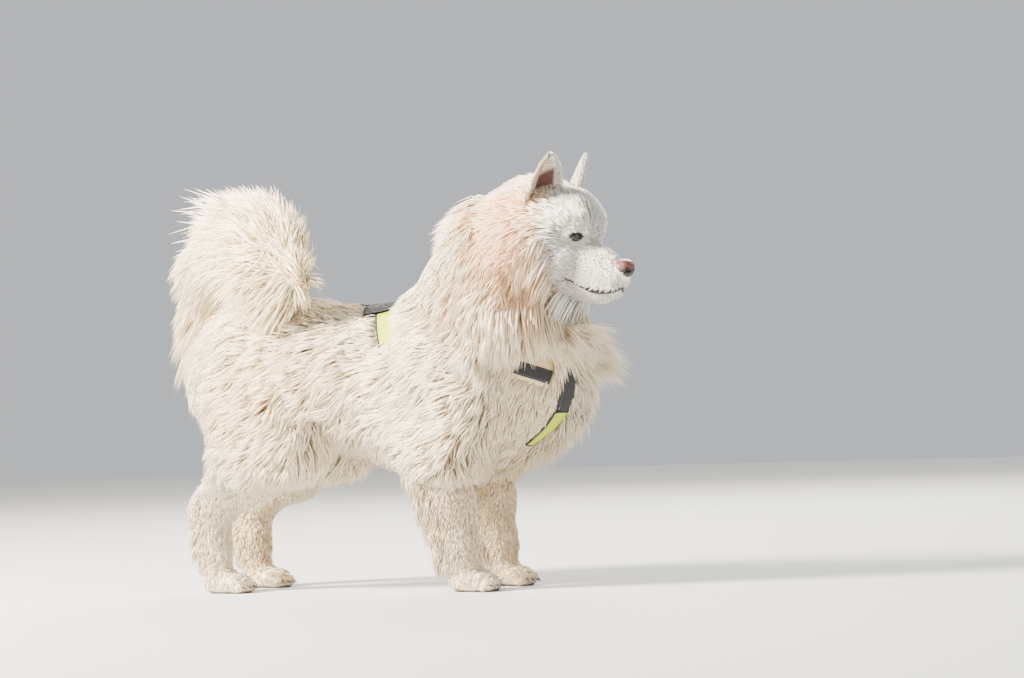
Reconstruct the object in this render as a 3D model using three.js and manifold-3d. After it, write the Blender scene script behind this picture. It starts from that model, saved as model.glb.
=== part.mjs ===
// A life-size standing samoyed in a pulling harness. Millimetres, +Z up, +X the way the dog faces.
// +Y is its left. The flesh is one smooth field of chained elliptical limbs, meshed node by node and
// parted by thin cuts.
// The long coat is tapered locks, set on that surface along the lie of the hair.
import * as THREE from "three";
import { mergeVertices } from "three/addons/utils/BufferGeometryUtils.js";
import Module from "manifold-3d";

const wasm = await Module();
wasm.setup();

// Driving dimensions
const GAP = 0.3; // between touching nodes
const PASTERN_X = 262; // fore pasterns
const HOCK = { x: -288, z: 165 };
const HALF_TRACK = 74; // from the middle plane to each leg
const EYE_MIDDLE = [511, -20, 655]; // point between the eyes
const HEAD_TURN = THREE.MathUtils.degToRad(-8); // towards the dog's right
const EYE = { side: 38, radius: 11.5, sunk: 6 };
const CELL = { body: 51, head: 14, leg: 27, paw: 14, tail: 30 }; // mesh sizes
const BLEND = { body: 34, head: 15, paw: 7 }; // how softly limbs run into one another
const CLEAR = 1; // round a curved field, whose flats differ from node to node
const STRAP = { width: 25, thick: 5.5, sunk: 3, wide: 40 };

const vec = (x, y, z) => new THREE.Vector3(x, y, z);
const { clamp, lerp } = THREE.MathUtils;

// A repeatable random number from 0 to 1.
let seed = 20261;
function random() {
  seed = (seed * 1664525 + 1013904223) % 4294967296;
  return seed / 4294967296;
}
const vary = (share) => 1 + share * (2 * random() - 1);

// Flesh: each limb is a chain of stations [x, y, z, half width, half height].
const mirror = (chain) => chain.map(([x, y, z, w, h]) => [x, -y, z, w, h]);

const TORSO = [
  [-272, 0, 432, 78, 80],
  [-215, 0, 434, 116, 100],
  [-110, 0, 430, 124, 105],
  [10, 0, 416, 130, 118],
  [130, 0, 398, 136, 136],
  [240, 0, 392, 132, 144],
  [330, 0, 398, 108, 124],
  [380, 0, 402, 74, 88],
];
const NECK = [
  [235, 0, 480, 124, 118],
  [305, -2, 560, 116, 112],
  [370, -8, 630, 96, 98],
  [418, -12, 675, 78, 80],
];
const FORELEG = [
  [290, 92, 395, 58, 78],
  [222, 96, 272, 46, 54],
  [238, 84, 165, 34, 38],
  [253, 76, 85, 27, 29],
  [PASTERN_X, HALF_TRACK, 42, 25, 27],
];
const HINDLEG = [
  [-195, 78, 418, 72, 104],
  [-145, 92, 352, 60, 92],
  [-98, 97, 292, 46, 58],
  [-195, 88, 226, 36, 46],
  [HOCK.x, 78, HOCK.z, 23, 29],
  [HOCK.x - 2, 75, 92, 21, 25],
  [HOCK.x + 8, HALF_TRACK, 42, 23, 26],
];
const TAIL = [
  [-262, 0, 505, 30, 32],
  [-285, -12, 580, 32, 32],
  [-268, -34, 642, 34, 34],
  [-212, -62, 688, 36, 36],
  [-142, -92, 688, 36, 36],
  [-82, -118, 650, 34, 34],
  [-50, -134, 600, 28, 28],
];

// Head parts are placed from the point between the eyes: forward, left, up.
const FORWARD = vec(Math.cos(HEAD_TURN), Math.sin(HEAD_TURN), 0);
const LEFT = vec(-Math.sin(HEAD_TURN), Math.cos(HEAD_TURN), 0);
const inHead = (f, l, u) =>
  vec(...EYE_MIDDLE).addScaledVector(FORWARD, f).addScaledVector(LEFT, l).add(vec(0, 0, u));
const headChain = (chain) => chain.map(([f, l, u, w, h]) => [...inHead(f, l, u).toArray(), w, h]);

const SKULL = [
  [-72, 0, 6, 66, 66],
  [-30, 0, 22, 60, 58],
];
const FOREHEAD = [
  [-34, 0, 30, 56, 50],
  [-22, 0, 20, 44, 44],
];
const MUZZLE = [
  [-12, 0, -42, 45, 38],
  [32, 0, -56, 33, 31],
  [74, 0, -71, 23, 23],
];
const JAW = [
  [-40, 0, -84, 40, 28],
  [30, 0, -101, 24, 19],
  [62, 0, -104, 17, 12],
];
const CHEEK = [
  [-66, 46, -22, 34, 52],
  [-34, 42, -44, 30, 38],
];
const FLEW = [
  [8, 27, -76, 14, 18],
  [60, 13, -86, 12, 13],
];
const BROW = [
  [-12, 22, 16, 15, 13],
  [-18, 42, 10, 12, 11],
];

// Distance to one elliptical segment, roughly, and less than nothing inside it.
function segmentDistance(p, a, b) {
  const ax = b[0] - a[0];
  const ay = b[1] - a[1];
  const az = b[2] - a[2];
  const length = Math.hypot(ax, ay, az);
  const qx = p.x - a[0];
  const qy = p.y - a[1];
  const qz = p.z - a[2];
  const t = clamp((qx * ax + qy * ay + qz * az) / (length * length), 0, 1);
  const dx = qx - t * ax;
  const dy = qy - t * ay;
  const dz = qz - t * az;
  const along = (dx * ax + dy * ay + dz * az) / length;
  // The width runs along Y, made square to the segment.
  const k = ay / length;
  const sx = (-k * ax) / length;
  const sy = 1 - (k * ay) / length;
  const sz = (-k * az) / length;
  const across = (dx * sx + dy * sy + dz * sz) / Math.hypot(sx, sy, sz);
  const rest = Math.max(dx * dx + dy * dy + dz * dz - along * along - across * across, 0);
  const w = lerp(a[3], b[3], t);
  const h = lerp(a[4], b[4], t);
  const least = Math.min(w, h);
  const scaled = Math.sqrt((across / w) ** 2 + rest / (h * h) + (along / least) ** 2);
  return (scaled - 1) * least;
}

function softMin(a, b, k) {
  const h = Math.max(k - Math.abs(a - b), 0) / k;
  return Math.min(a, b) - (h * h * k) / 4;
}

// A field is a function of a point: under zero inside the flesh.
function fieldOf(chains, blend) {
  const segments = chains.flatMap((chain) => chain.slice(1).map((b, i) => [chain[i], b]));
  return (p) =>
    segments.reduce((d, [a, b]) => softMin(d, segmentDistance(p, a, b), blend), 1e3);
}

function pawChains(x, y) {
  const toes = [-1.5, -0.5, 0.5, 1.5].map((i) => [
    [x + 18, y + 13 * i, 22, 10, 13],
    [x + 46 - 5 * Math.abs(i), y + 15 * i, 10, 9.5, 13],
  ]);
  return [[[x - 22, y, 20, 24, 24], [x + 16, y, 17, 29, 22]], ...toes];
}

const SIDES = { right: -1, left: 1 };
const PAWS = { fore: PASTERN_X + 14, hind: HOCK.x + 26 };
const legs = [FORELEG, mirror(FORELEG), HINDLEG, mirror(HINDLEG)];
const bodyField = fieldOf([TORSO, NECK, ...legs], BLEND.body);
const headField = fieldOf(
  [
    ...[SKULL, FOREHEAD, MUZZLE, JAW, CHEEK, mirror(CHEEK), FLEW, mirror(FLEW), BROW, mirror(BROW)].map(
      headChain,
    ),
    NECK.slice(2),
  ],
  BLEND.head,
);
const tailField = fieldOf([TAIL], BLEND.body);
const pawFields = Object.fromEntries(
  Object.keys(PAWS).flatMap((pair) =>
    Object.entries(SIDES).map(([side, sign]) => [
      `${pair}_${side}`,
      fieldOf(pawChains(PAWS[pair], sign * HALF_TRACK), BLEND.paw),
    ]),
  ),
);

function gradient(field, p) {
  const e = 1;
  const slope = (axis) => field(p.clone().add(axis)) - field(p.clone().sub(axis));
  return vec(slope(vec(e, 0, 0)), slope(vec(0, e, 0)), slope(vec(0, 0, e))).divideScalar(2 * e);
}

// Moves a point along the field's slope until it lies at that height over the surface.
function settle(field, point, height, steps = 4) {
  const p = point.clone();
  for (let i = 0; i < steps; i += 1) {
    const g = gradient(field, p);
    p.addScaledVector(g, clamp((height - field(p)) / Math.max(g.lengthSq(), 0.05), -30, 30));
  }
  return p;
}

// Solids
function solid(vertices, triangles) {
  const mesh = new wasm.Mesh({
    numProp: 3,
    vertProperties: new Float32Array(vertices),
    triVerts: new Uint32Array(triangles),
  });
  mesh.merge();
  return new wasm.Manifold(mesh);
}

function solidOf(geometry) {
  const bare = geometry.clone();
  Object.keys(bare.attributes)
    .filter((name) => name !== "position")
    .forEach((name) => bare.deleteAttribute(name));
  const merged = mergeVertices(bare, 1e-3);
  return solid(merged.attributes.position.array, merged.index.array);
}

// A closed solid through rings of points. An end ring may be a single point, and a closed loft has no ends.
function loft(rings, closed = false) {
  const points = rings.flat();
  const starts = rings.map((_, i) => rings.slice(0, i).flat().length);
  const triangles = [];
  const count = closed ? rings.length : rings.length - 1;
  for (let i = 0; i < count; i += 1) {
    const next = (i + 1) % rings.length;
    const sides = Math.max(rings[i].length, rings[next].length);
    const vertex = (ring, k) => starts[ring] + (k % rings[ring].length);
    for (let k = 0; k < sides; k += 1) {
      const quad = [vertex(i, k), vertex(i, k + 1), vertex(next, k + 1), vertex(next, k)];
      if (quad[0] !== quad[1]) triangles.push(quad[0], quad[1], quad[2]);
      if (quad[2] !== quad[3]) triangles.push(quad[0], quad[2], quad[3]);
    }
  }
  // An end is closed as a strip from one half of its ring to the other, so it may be a curved band.
  const cap = (ring, turned) => {
    const last = rings[ring].length - 1;
    for (let k = 0; 2 * k < last; k += 1) {
      const strip = [k, k + 1, last - k - 1, last - k];
      for (const corners of [[0, 2, 1], [0, 3, 2]]) {
        const face = corners.map((c) => starts[ring] + strip[c]);
        if (new Set(face).size === 3) triangles.push(...(turned ? face.reverse() : face));
      }
    }
  };
  if (!closed) {
    cap(0, false);
    cap(rings.length - 1, true);
  }
  const flat = points.flatMap((v) => v.toArray());
  const made = solid(flat, triangles);
  return made.volume() > 0 ? made : solid(flat, triangles.reverse());
}

const join = (solids) => wasm.Manifold.union(solids);
const largest = (made) =>
  made.decompose().reduce((best, one) => (one.volume() > best.volume() ? one : best));

// Everything on the side of a plane that its normal points to, held back by half a gap.
function halfSpace(point, normal, held = GAP / 2) {
  const size = 3000;
  const box = new THREE.BoxGeometry(size, size, size);
  const n = vec(...normal).normalize();
  box.applyQuaternion(new THREE.Quaternion().setFromUnitVectors(vec(0, 0, 1), n));
  const centre = vec(...point).addScaledVector(n, size / 2 + held);
  return solidOf(box.translate(...centre.toArray()));
}

// Meshes the zero surface of a field in a box: one vertex in each crossed cell, then drawn onto the surface.
function polygonise(whole, low, high, cell, height = 0) {
  const field = (p) =>
    Math.max(
      whole(p),
      ...["x", "y", "z"].flatMap((axis, i) => [
        low[i] + 1.5 * cell - p[axis],
        p[axis] - high[i] + 1.5 * cell,
      ]),
    );
  const count = low.map((v, i) => Math.ceil((high[i] - v) / cell) + 1);
  const [nx, ny, nz] = count;
  const at = (i, j, k) => (k * ny + j) * nx + i;
  const corner = (i, j, k) => vec(low[0] + i * cell, low[1] + j * cell, low[2] + k * cell);
  const values = new Float64Array(nx * ny * nz);
  for (let k = 0; k < nz; k += 1)
    for (let j = 0; j < ny; j += 1)
      for (let i = 0; i < nx; i += 1) values[at(i, j, k)] = field(corner(i, j, k));
  const EDGES = [];
  for (let c = 0; c < 8; c += 1)
    for (const bit of [1, 2, 4]) if (!(c & bit)) EDGES.push([c, c | bit]);
  const vertices = [];
  const index = new Int32Array(values.length).fill(-1);
  const valueAt = (i, j, k, c) => values[at(i + (c & 1), j + ((c >> 1) & 1), k + ((c >> 2) & 1))];
  for (let k = 0; k < nz - 1; k += 1)
    for (let j = 0; j < ny - 1; j += 1)
      for (let i = 0; i < nx - 1; i += 1) {
        const sum = vec(0, 0, 0);
        let hits = 0;
        for (const [a, b] of EDGES) {
          const va = valueAt(i, j, k, a);
          const vb = valueAt(i, j, k, b);
          if (va < 0 === vb < 0) continue;
          const t = va / (va - vb);
          const bits = [1, 2, 4].map((bit) => lerp(a & bit ? 1 : 0, b & bit ? 1 : 0, t));
          sum.add(vec(...bits));
          hits += 1;
        }
        if (!hits) continue;
        const place = corner(i, j, k).addScaledVector(sum, cell / hits);
        index[at(i, j, k)] = vertices.length;
        vertices.push(settle(field, settle(field, place, 0, 2), height, 1));
      }
  const triangles = [];
  const steps = [[1, 0, 0], [0, 1, 0], [0, 0, 1]];
  for (let k = 1; k < nz - 1; k += 1)
    for (let j = 1; j < ny - 1; j += 1)
      for (let i = 1; i < nx - 1; i += 1)
        steps.forEach((step, axis) => {
          const here = values[at(i, j, k)] < 0;
          const there = values[at(i + step[0], j + step[1], k + step[2])] < 0;
          if (here === there) return;
          const [u, v] = [steps[(axis + 1) % 3], steps[(axis + 2) % 3]];
          const cellAt = (a, b) =>
            index[at(i - a * u[0] - b * v[0], j - a * u[1] - b * v[1], k - a * u[2] - b * v[2])];
          const quad = [cellAt(0, 0), cellAt(1, 0), cellAt(1, 1), cellAt(0, 1)];
          if (!here) quad.reverse();
          triangles.push(quad[0], quad[1], quad[2], quad[0], quad[2], quad[3]);
        });
  return solid(vertices.flatMap((v) => v.toArray()), triangles);
}

// The lie of the coat
const HEADWARD = vec(0.62, 0, 0.78);
const TAIL_WHORL = vec(-40, -150, 598);

// What the coat is like at a point of the body: lock length, lift of the tips, width, spacing and lie.
function bodyCoat(p, n) {
  const rear = clamp((-p.x - 180) / 80, 0, 1);
  const neck = clamp((vec(p.x - 265, 0, p.z - 515).dot(HEADWARD) + 40) / 60, 0, 1);
  const below = clamp((-n.z - 0.2) / 0.5, 0, 1);
  const limb = clamp((300 - p.z) / 60, 0, 1) * (p.x > 0 && p.x < 190 && p.z > 240 ? 0 : 1);
  const lie = vec(-0.85, 0, -0.55)
    .lerp(vec(-0.35, 0, -0.95), Math.max(rear, below * 0.8))
    .lerp(vec(-0.42, 0, -0.9), neck);
  const behind = clamp(-n.x, 0, 1);
  return {
    lie,
    length: lerp(lerp(lerp(105, 125, rear), 128, neck), 60 + 45 * behind, limb),
    height: lerp(lerp(lerp(30, 44, rear), 54, neck) + 14 * below, 12 + 24 * behind, limb),
    width: lerp(62, 40, limb),
    spacing: lerp(lerp(72, 66, neck), 62, limb),
  };
}

// The cheeks' fringe runs into the ruff.
const headCoat = () => ({
  lie: vec(-0.75, 0, -0.66),
  length: 66,
  height: 20,
  width: 36,
  spacing: 38,
});

// The plume fans out from the tail and droops.
function tailCoat(p, n) {
  const out = p.clone().sub(TAIL_WHORL).setY(0).normalize();
  const lie = out.multiplyScalar(1.1).add(vec(-0.25, 0, -0.35)).addScaledVector(n, 0.5);
  const tip = clamp((p.x + 150) / 100, 0, 1);
  return { lie, length: lerp(190, 200, tip), height: lerp(95, 40, tip), width: 56, spacing: 47 };
}

// One lock: three-sided, sunk at its root, bent along the surface and tapered to its tip.
const LOCK_RINGS = [
  { along: 0, rise: 0, width: 0.8, thick: 1 },
  { along: 0.36, rise: 0.42, width: 1, thick: 1 },
  { along: 0.72, rise: 0.78, width: 0.72, thick: 0.7 },
  { along: 1, rise: 1, width: 0, thick: 0 },
];
const LOCK_SUNK = 9;
const LOCK_THICK = 0.2; // of its width

// Where a lock runs: at each ring its place, the surface's normal there and its heading.
function course(field, root, coat) {
  let place = root.clone();
  let walked = 0;
  return LOCK_RINGS.map(({ along, rise }) => {
    const normal = gradient(field, place).normalize();
    const heading = coat.lie.clone().addScaledVector(normal, -coat.lie.dot(normal)).normalize();
    place.addScaledVector(heading, (along - walked) * coat.length);
    walked = along;
    place = settle(field, place, -LOCK_SUNK + rise * (coat.height + LOCK_SUNK), 2);
    return { place: place.clone(), normal, heading };
  });
}

function lock({ stops, coat }, grow = 0) {
  const rings = stops.slice(0, -1).map(({ place, normal, heading }, i) => {
    const across = heading.clone().cross(normal).normalize();
    const half = (LOCK_RINGS[i].width * coat.width) / 2 + 3 * grow;
    const thick = LOCK_RINGS[i].thick * coat.width * LOCK_THICK;
    const at = place.clone().addScaledVector(heading, i ? 0 : -2 * grow);
    const edge = at.clone().addScaledVector(normal, -thick / 2 - grow);
    return [
      edge.clone().addScaledVector(across, half),
      at.clone().addScaledVector(normal, thick + 2 * grow),
      edge.clone().addScaledVector(across, -half),
    ];
  });
  const end = stops.at(-1);
  return loft([...rings, [end.place.clone().addScaledVector(end.heading, 6 * grow)]]);
}

// Roots spread evenly over a solid's surface, no two closer than the coat's spacing.
function rootsOn(core, field, coatAt, allowed, tries) {
  const mesh = core.getMesh();
  const point = (t, c) => {
    const v = mesh.triVerts[t * 3 + c] * mesh.numProp;
    return vec(mesh.vertProperties[v], mesh.vertProperties[v + 1], mesh.vertProperties[v + 2]);
  };
  const areas = [];
  let total = 0;
  for (let t = 0; t < mesh.triVerts.length / 3; t += 1) {
    const [a, b, c] = [0, 1, 2].map((i) => point(t, i));
    total += b.clone().sub(a).cross(c.clone().sub(a)).length();
    areas.push(total);
  }
  const roots = [];
  for (let i = 0; i < tries; i += 1) {
    const pick = random() * total;
    const t = areas.findIndex((sum) => sum >= pick);
    const [u, v] = [Math.sqrt(random()), random()];
    const p = point(t, 0)
      .multiplyScalar(1 - u)
      .addScaledVector(point(t, 1), u * (1 - v))
      .addScaledVector(point(t, 2), u * v);
    const n = gradient(field, p).normalize();
    if (Math.abs(field(p)) > 3 || !allowed(p, n)) continue;
    const coat = coatAt(p, n);
    if (roots.some((r) => r.p.distanceTo(p) < (r.coat.spacing + coat.spacing) / 2)) continue;
    coat.length *= vary(0.15);
    coat.width *= vary(0.15);
    roots.push({ p, coat });
  }
  return roots;
}

// Planes that part the nodes, as a point and the normal into the node named.
const CUT = {
  head: [[392, 0, 650], [0.86, -0.1, 0.5]],
  neck: [[262, 0, 528], [0.62, 0, 0.78]],
  barrel: [[118, 0, 400], [-1, 0, 0]],
  rump: [[-92, 0, 400], [-1, 0, 0]],
  middle: [[0, 0, 0], [0, 1, 0]],
  knee: [[0, 0, 238], [0, 0, -1]],
  foot: [[0, 0, 46], [0, 0, -1]],
  floor: [[0, 0, -GAP / 2], [0, 0, 1]],
};
const flip = ([point, normal]) => [point, normal.map((v) => -v)];
const sidesHeld = (held) =>
  Object.fromEntries(
    Object.entries(CUT).flatMap(([name, cut]) => [
      [name, halfSpace(...cut, held)],
      [`not_${name}`, halfSpace(...flip(cut), held)],
    ]),
  );
const side = sidesHeld(GAP / 2);
const wideSide = sidesHeld(-GAP);

// Cores of the nodes, before any locks: each meshed from its field at its own fineness, then cut.
const BODY_BOX = [[-470, -300, 110], [600, 300, 860]];
const bodyCore = polygonise(bodyField, ...BODY_BOX, CELL.body);
const HEAD_BOX = [[310, -190, 460], [680, 170, 820]];
const headCore = polygonise(headField, ...HEAD_BOX, CELL.head);
// A field's solid a little larger, flat for flat, to cut others clear of it.
const grown = (field, box, cell) => polygonise(field, ...box, cell, CLEAR);
const TAIL_BOX = [[-400, -240, 430], [40, 80, 800]];
const tailCore = polygonise(tailField, ...TAIL_BOX, CELL.tail);
const tailClear = grown(tailField, TAIL_BOX, CELL.tail);
const keep = (made, ...sides) => largest(sides.reduce((rest, one) => rest.intersect(side[one]), made));

const REGION = {
  neck: ["not_head", "neck"],
  chest: ["not_neck", "not_barrel", "not_knee"],
  barrel: ["barrel", "not_rump", "not_knee"],
  rump: ["rump", "not_knee"],
};
const cores = { head: keep(headCore, "head") };
Object.entries(REGION).forEach(([name, sides]) => {
  cores[name] = keep(bodyCore, ...sides);
});
const bodyClear = grown(bodyField, BODY_BOX, CELL.body);
const headClear = grown(headField, HEAD_BOX, CELL.head);
const limbFields = {};
const limbClears = {};

// Legs below the elbow and stifle, and the paws, are finer.
for (const [name, sign] of Object.entries(SIDES)) {
  const flank = name === "right" ? "not_middle" : "middle";
  const y = [sign * HALF_TRACK - 110, sign * HALF_TRACK + 110];
  for (const [pair, chain, x] of [["fore", FORELEG, [90, 400]], ["hind", HINDLEG, [-390, 40]]]) {
    const limb = `${pair}leg_${name}`;
    const box = [[x[0], y[0], -30], [x[1], y[1], 420]];
    limbFields[limb] = fieldOf([sign < 0 ? mirror(chain) : chain], BLEND.body);
    cores[limb] = keep(polygonise(limbFields[limb], ...box, CELL.leg), "knee", "not_foot", flank);
    limbClears[limb] = grown(limbFields[limb], box, CELL.leg).intersect(wideSide.knee);
  }
  for (const [pair, x] of Object.entries(PAWS)) {
    const field = pawFields[`${pair}_${name}`];
    const paw = polygonise(field, [x - 80, y[0], -30], [x + 90, y[1], 90], CELL.paw);
    cores[`paw_${pair}_${name}`] = keep(paw, "foot", "floor");
  }
}
cores.tail = keep(tailCore.subtract(bodyClear));

// Ears: cups that open forwards and outwards. Head directions are forward, left, up.
const EAR = {
  base: [-48, 60, 70],
  across: [-0.55, 0.75, -0.42],
  height: [22, 2, 84],
  half: 43,
  cup: 22,
  wall: 10,
};
const EAR_STEPS = { up: 6, across: 4 };
function ear(sign, grow = 0) {
  const way = (f, l, u) =>
    FORWARD.clone().multiplyScalar(f).addScaledVector(LEFT, sign * l).add(vec(0, 0, u));
  const base = inHead(EAR.base[0], sign * EAR.base[1], EAR.base[2]);
  const across = way(...EAR.across).normalize();
  const up = way(...EAR.height);
  const open = across.clone().cross(up).normalize().multiplyScalar(sign);
  const rings = [];
  for (let i = 0; i < EAR_STEPS.up; i += 1) {
    const u = i / EAR_STEPS.up;
    const half = EAR.half * Math.sqrt(1 - u ** 1.35) + grow;
    const face = (wall) =>
      Array.from({ length: EAR_STEPS.across + 1 }, (_, k) => {
        const v = (2 * k) / EAR_STEPS.across - 1;
        const deep = EAR.cup * (1 - u) ** 0.8 * (1 - v * v) + wall * (1 - 0.7 * v ** 4);
        return base
          .clone()
          .addScaledVector(up, u)
          .addScaledVector(across, v * half)
          .addScaledVector(open, -deep);
      });
    rings.push([...face(0.8 - grow), ...face(EAR.wall + grow).reverse()]);
  }
  const tip = base.clone().addScaledVector(up, 1 + grow / 50).addScaledVector(open, -EAR.wall / 2);
  return loft([...rings, [tip]]);
}

const ball = (centre, radii, detail = 12) => {
  const geometry = new THREE.SphereGeometry(1, detail, Math.round(detail * 0.7));
  const axes = new THREE.Matrix4().makeBasis(FORWARD, LEFT, vec(0, 0, 1));
  return solidOf(geometry.scale(...radii).applyMatrix4(axes).translate(...centre.toArray()));
};

// An eye: the ball, and the lids as a shell round it with an almond opening.
const LOOK = [0.62, 0.76, 0.06];
const LID = { shell: 14.2, room: 11.9, half: 13, upper: 6.4, lower: 5, tilt: 0.2 };
function eye(sign) {
  const surface = settle(headField, inHead(6, sign * EYE.side, 0), -EYE.sunk);
  const gaze = FORWARD.clone().multiplyScalar(LOOK[0]).addScaledVector(LEFT, sign * LOOK[1]);
  gaze.setZ(LOOK[2]).normalize();
  const level = vec(0, 0, 1).cross(gaze).normalize().multiplyScalar(sign);
  const upright = gaze.clone().cross(level).normalize().multiplyScalar(sign);
  const almond = (along) =>
    Array.from({ length: 12 }, (_, k) => {
      const a = (2 * Math.PI * k) / 12;
      const x = LID.half * Math.cos(a);
      const most = Math.sin(a) > 0 ? LID.upper : LID.lower;
      const lift = most * Math.sin(a) * Math.abs(Math.sin(a)) ** 0.25;
      return surface
        .clone()
        .addScaledVector(gaze, along)
        .addScaledVector(level, x)
        .addScaledVector(upright, lift + LID.tilt * x);
    });
  const opening = loft([almond(2), almond(40)]);
  const shell = ball(surface, [LID.shell, LID.shell, LID.shell], 14);
  return {
    ball: ball(surface, [EYE.radius, EYE.radius, EYE.radius]),
    room: ball(surface, [LID.room, LID.room, LID.room]).add(opening),
    lids: shell,
  };
}

// The nose leather with two nostrils.
const NOSE = { centre: [86, 0, -62], radii: [19, 20, 16] };
const NOSTRIL = { at: [103, 10.5, -63], radii: [11, 5.2, 4.6] };
const nosePad = (grow) => ball(inHead(...NOSE.centre), NOSE.radii.map((r) => r + grow), 14);
const nostrils = Object.values(SIDES).map((sign) => {
  const [f, l, u] = NOSTRIL.at;
  return ball(inHead(f, sign * l, u), NOSTRIL.radii, 8);
});

// The mouth: a groove from one corner round the front to the other.
const MOUTH = [[-20, 46, -77], [6, 42, -91], [34, 33, -102], [63, 21, -104], [86, 0, -99]];
const MOUTH_HALF = 2.6;
function mouthGroove() {
  const half = MOUTH.map(([f, l, u]) => inHead(f, l, u));
  const other = MOUTH.slice(0, -1).map(([f, l, u]) => inHead(f, -l, u)).reverse();
  const line = new THREE.CatmullRomCurve3([...half, ...other]);
  const rings = line.getPoints(26).map((point) => {
    const p = settle(headField, point, 0);
    const out = gradient(headField, p).normalize();
    const up = vec(0, 0, 1).addScaledVector(out, -out.z).normalize();
    return [[5, 0], [0, MOUTH_HALF], [-5, 0], [0, -MOUTH_HALF]].map(([o, u]) =>
      p.clone().addScaledVector(out, o).addScaledVector(up, u),
    );
  });
  return loft(rings);
}

// Harness: flat bands that follow the body. A path point is [x, y, z, width].
function band(path, { closed = false, base = -STRAP.sunk, thick = STRAP.thick, steps = 14, grow = 0 } = {}) {
  const line = new THREE.CatmullRomCurve3(path.map(([x, y, z]) => vec(x, y, z)), closed);
  const widths = path.map((point) => point[3] ?? STRAP.width);
  const count = closed ? steps : steps + 1;
  const places = Array.from({ length: count }, (_, i) => {
    const t = i / steps;
    const at = t * (closed ? path.length : path.length - 1);
    const width = lerp(widths[Math.floor(at) % path.length], widths[Math.ceil(at) % path.length], at % 1);
    return { p: settle(bodyField, line.getPoint(t), 0), width };
  });
  const rings = places.map(({ p, width }, i) => {
    const before = places[closed ? (i + count - 1) % count : Math.max(i - 1, 0)].p;
    const after = places[closed ? (i + 1) % count : Math.min(i + 1, count - 1)].p;
    const out = gradient(bodyField, p).normalize();
    const across = after.clone().sub(before).cross(out).normalize();
    const end = !closed && (i === 0 || i === count - 1) ? (i ? grow : -grow) : 0;
    const along = out.clone().cross(across).multiplyScalar(end);
    const half = width / 2 + grow;
    const row = Math.max(...widths) > STRAP.wide ? [-1, 0, 1] : [-1, 1];
    const face = (height) =>
      row.map((v) => {
        const laidDown = settle(bodyField, p.clone().addScaledVector(across, v * half), 0, 2);
        return laidDown.add(along).addScaledVector(out, height);
      });
    return [...face(base - grow), ...face(base + thick + grow).reverse()];
  });
  return loft(rings, closed);
}

const GIRTH_X = 152;
const girthPath = Array.from({ length: 10 }, (_, i) => {
  const a = (2 * Math.PI * i) / 10;
  return [GIRTH_X - 18 * Math.cos(a), 130 * Math.sin(a), 398 + 136 * Math.cos(a), 24];
});
const sided = (sign, path) => path.map(([x, y, z, w]) => [x, sign * y, z, w]);
const SHOULDER_STRAP = [
  [420, 34, 396, 26],
  [388, 108, 428, 26],
  [318, 138, 492, 28],
  [248, 112, 560, 28],
  [205, 46, 590, 28],
];
const SIDE_PANEL = [[112, 24, 540, 76], [128, 74, 512, 56], [140, 112, 470, 34], [150, 128, 430, 24]];
const SPINE = [[196, 0, 600, 34], [150, 0, 545, 30], [60, 0, 540, 30], [8, 0, 538, 20]];
const CHEST_PLATE = [[432, 0, 420, 84], [440, 0, 375, 76], [432, 0, 340, 58]];
const CHEST_PANEL = [[431, 0, 338, 58], [410, 0, 300, 50], [370, 0, 270, 34]];
const BELLY = [[366, 0, 268, 30], [290, 0, 250, 28], [166, 0, 262, 26]];
const harness = {
  harness_girth: { path: girthPath, closed: true, steps: 16 },
  harness_spine: { path: SPINE, base: 2.9, steps: 8 },
  harness_panel_right: { path: sided(-1, SIDE_PANEL), base: 2.9, steps: 6 },
  harness_panel_left: { path: sided(1, SIDE_PANEL), base: 2.9, steps: 6 },
  harness_shoulder_right: { path: sided(-1, SHOULDER_STRAP), steps: 9 },
  harness_shoulder_left: { path: sided(1, SHOULDER_STRAP), steps: 9 },
  harness_chest_plate: { path: CHEST_PLATE, steps: 4 },
  harness_chest_panel: { path: CHEST_PANEL, steps: 4 },
  harness_belly: { path: BELLY, steps: 6 },
};

// The head is carved for the nose, eyes and mouth, and the lids are fused to it.
const eyes = Object.fromEntries(Object.entries(SIDES).map(([name, sign]) => [name, eye(sign)]));
let face = join([cores.head, ...Object.values(eyes).map((one) => one.lids)]);
Object.values(eyes).forEach((one) => {
  face = face.subtract(one.room);
});
cores.head = largest(face.subtract(nosePad(GAP + 0.1)).subtract(mouthGroove()));
cores.nose = largest(nostrils.reduce((pad, one) => pad.subtract(one), nosePad(0)));
Object.entries(SIDES).forEach(([name, sign]) => {
  cores[`eye_${name}`] = eyes[name].ball;
  cores[`ear_${name}`] = largest(ear(sign).subtract(headClear));
});

// Each band is cut clear of those before it, and the body gives way to all of them.
const bands = {};
const clears = [];
for (const [name, { path, ...how }] of Object.entries(harness)) {
  bands[name] = largest(clears.reduce((made, one) => made.subtract(one), band(path, how)));
  clears.push(band(path, { ...how, grow: GAP + 0.1 }));
}

const nodes = { ...cores, ...bands };
const BANDED = ["neck", "chest", "barrel", "rump"];
BANDED.forEach((name) => {
  nodes[name] = largest(clears.reduce((made, one) => made.subtract(one), nodes[name]));
});

// Where two nodes would still share a scrap of space, the second gives way.
function part(first, second) {
  const shared = nodes[first].intersect(nodes[second]);
  if (shared.volume() > 1e-3) nodes[second] = largest(nodes[second].subtract(roomRound(shared)));
}
function roomRound(made) {
  const { min, max } = made.boundingBox();
  const size = max.map((v, i) => v - min[i] + 2 * GAP);
  const centre = max.map((v, i) => (v + min[i]) / 2);
  return solidOf(new THREE.BoxGeometry(...size).translate(...centre));
}

const ears = Object.values(SIDES).map((sign) => ear(sign, GAP + 0.5));

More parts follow.
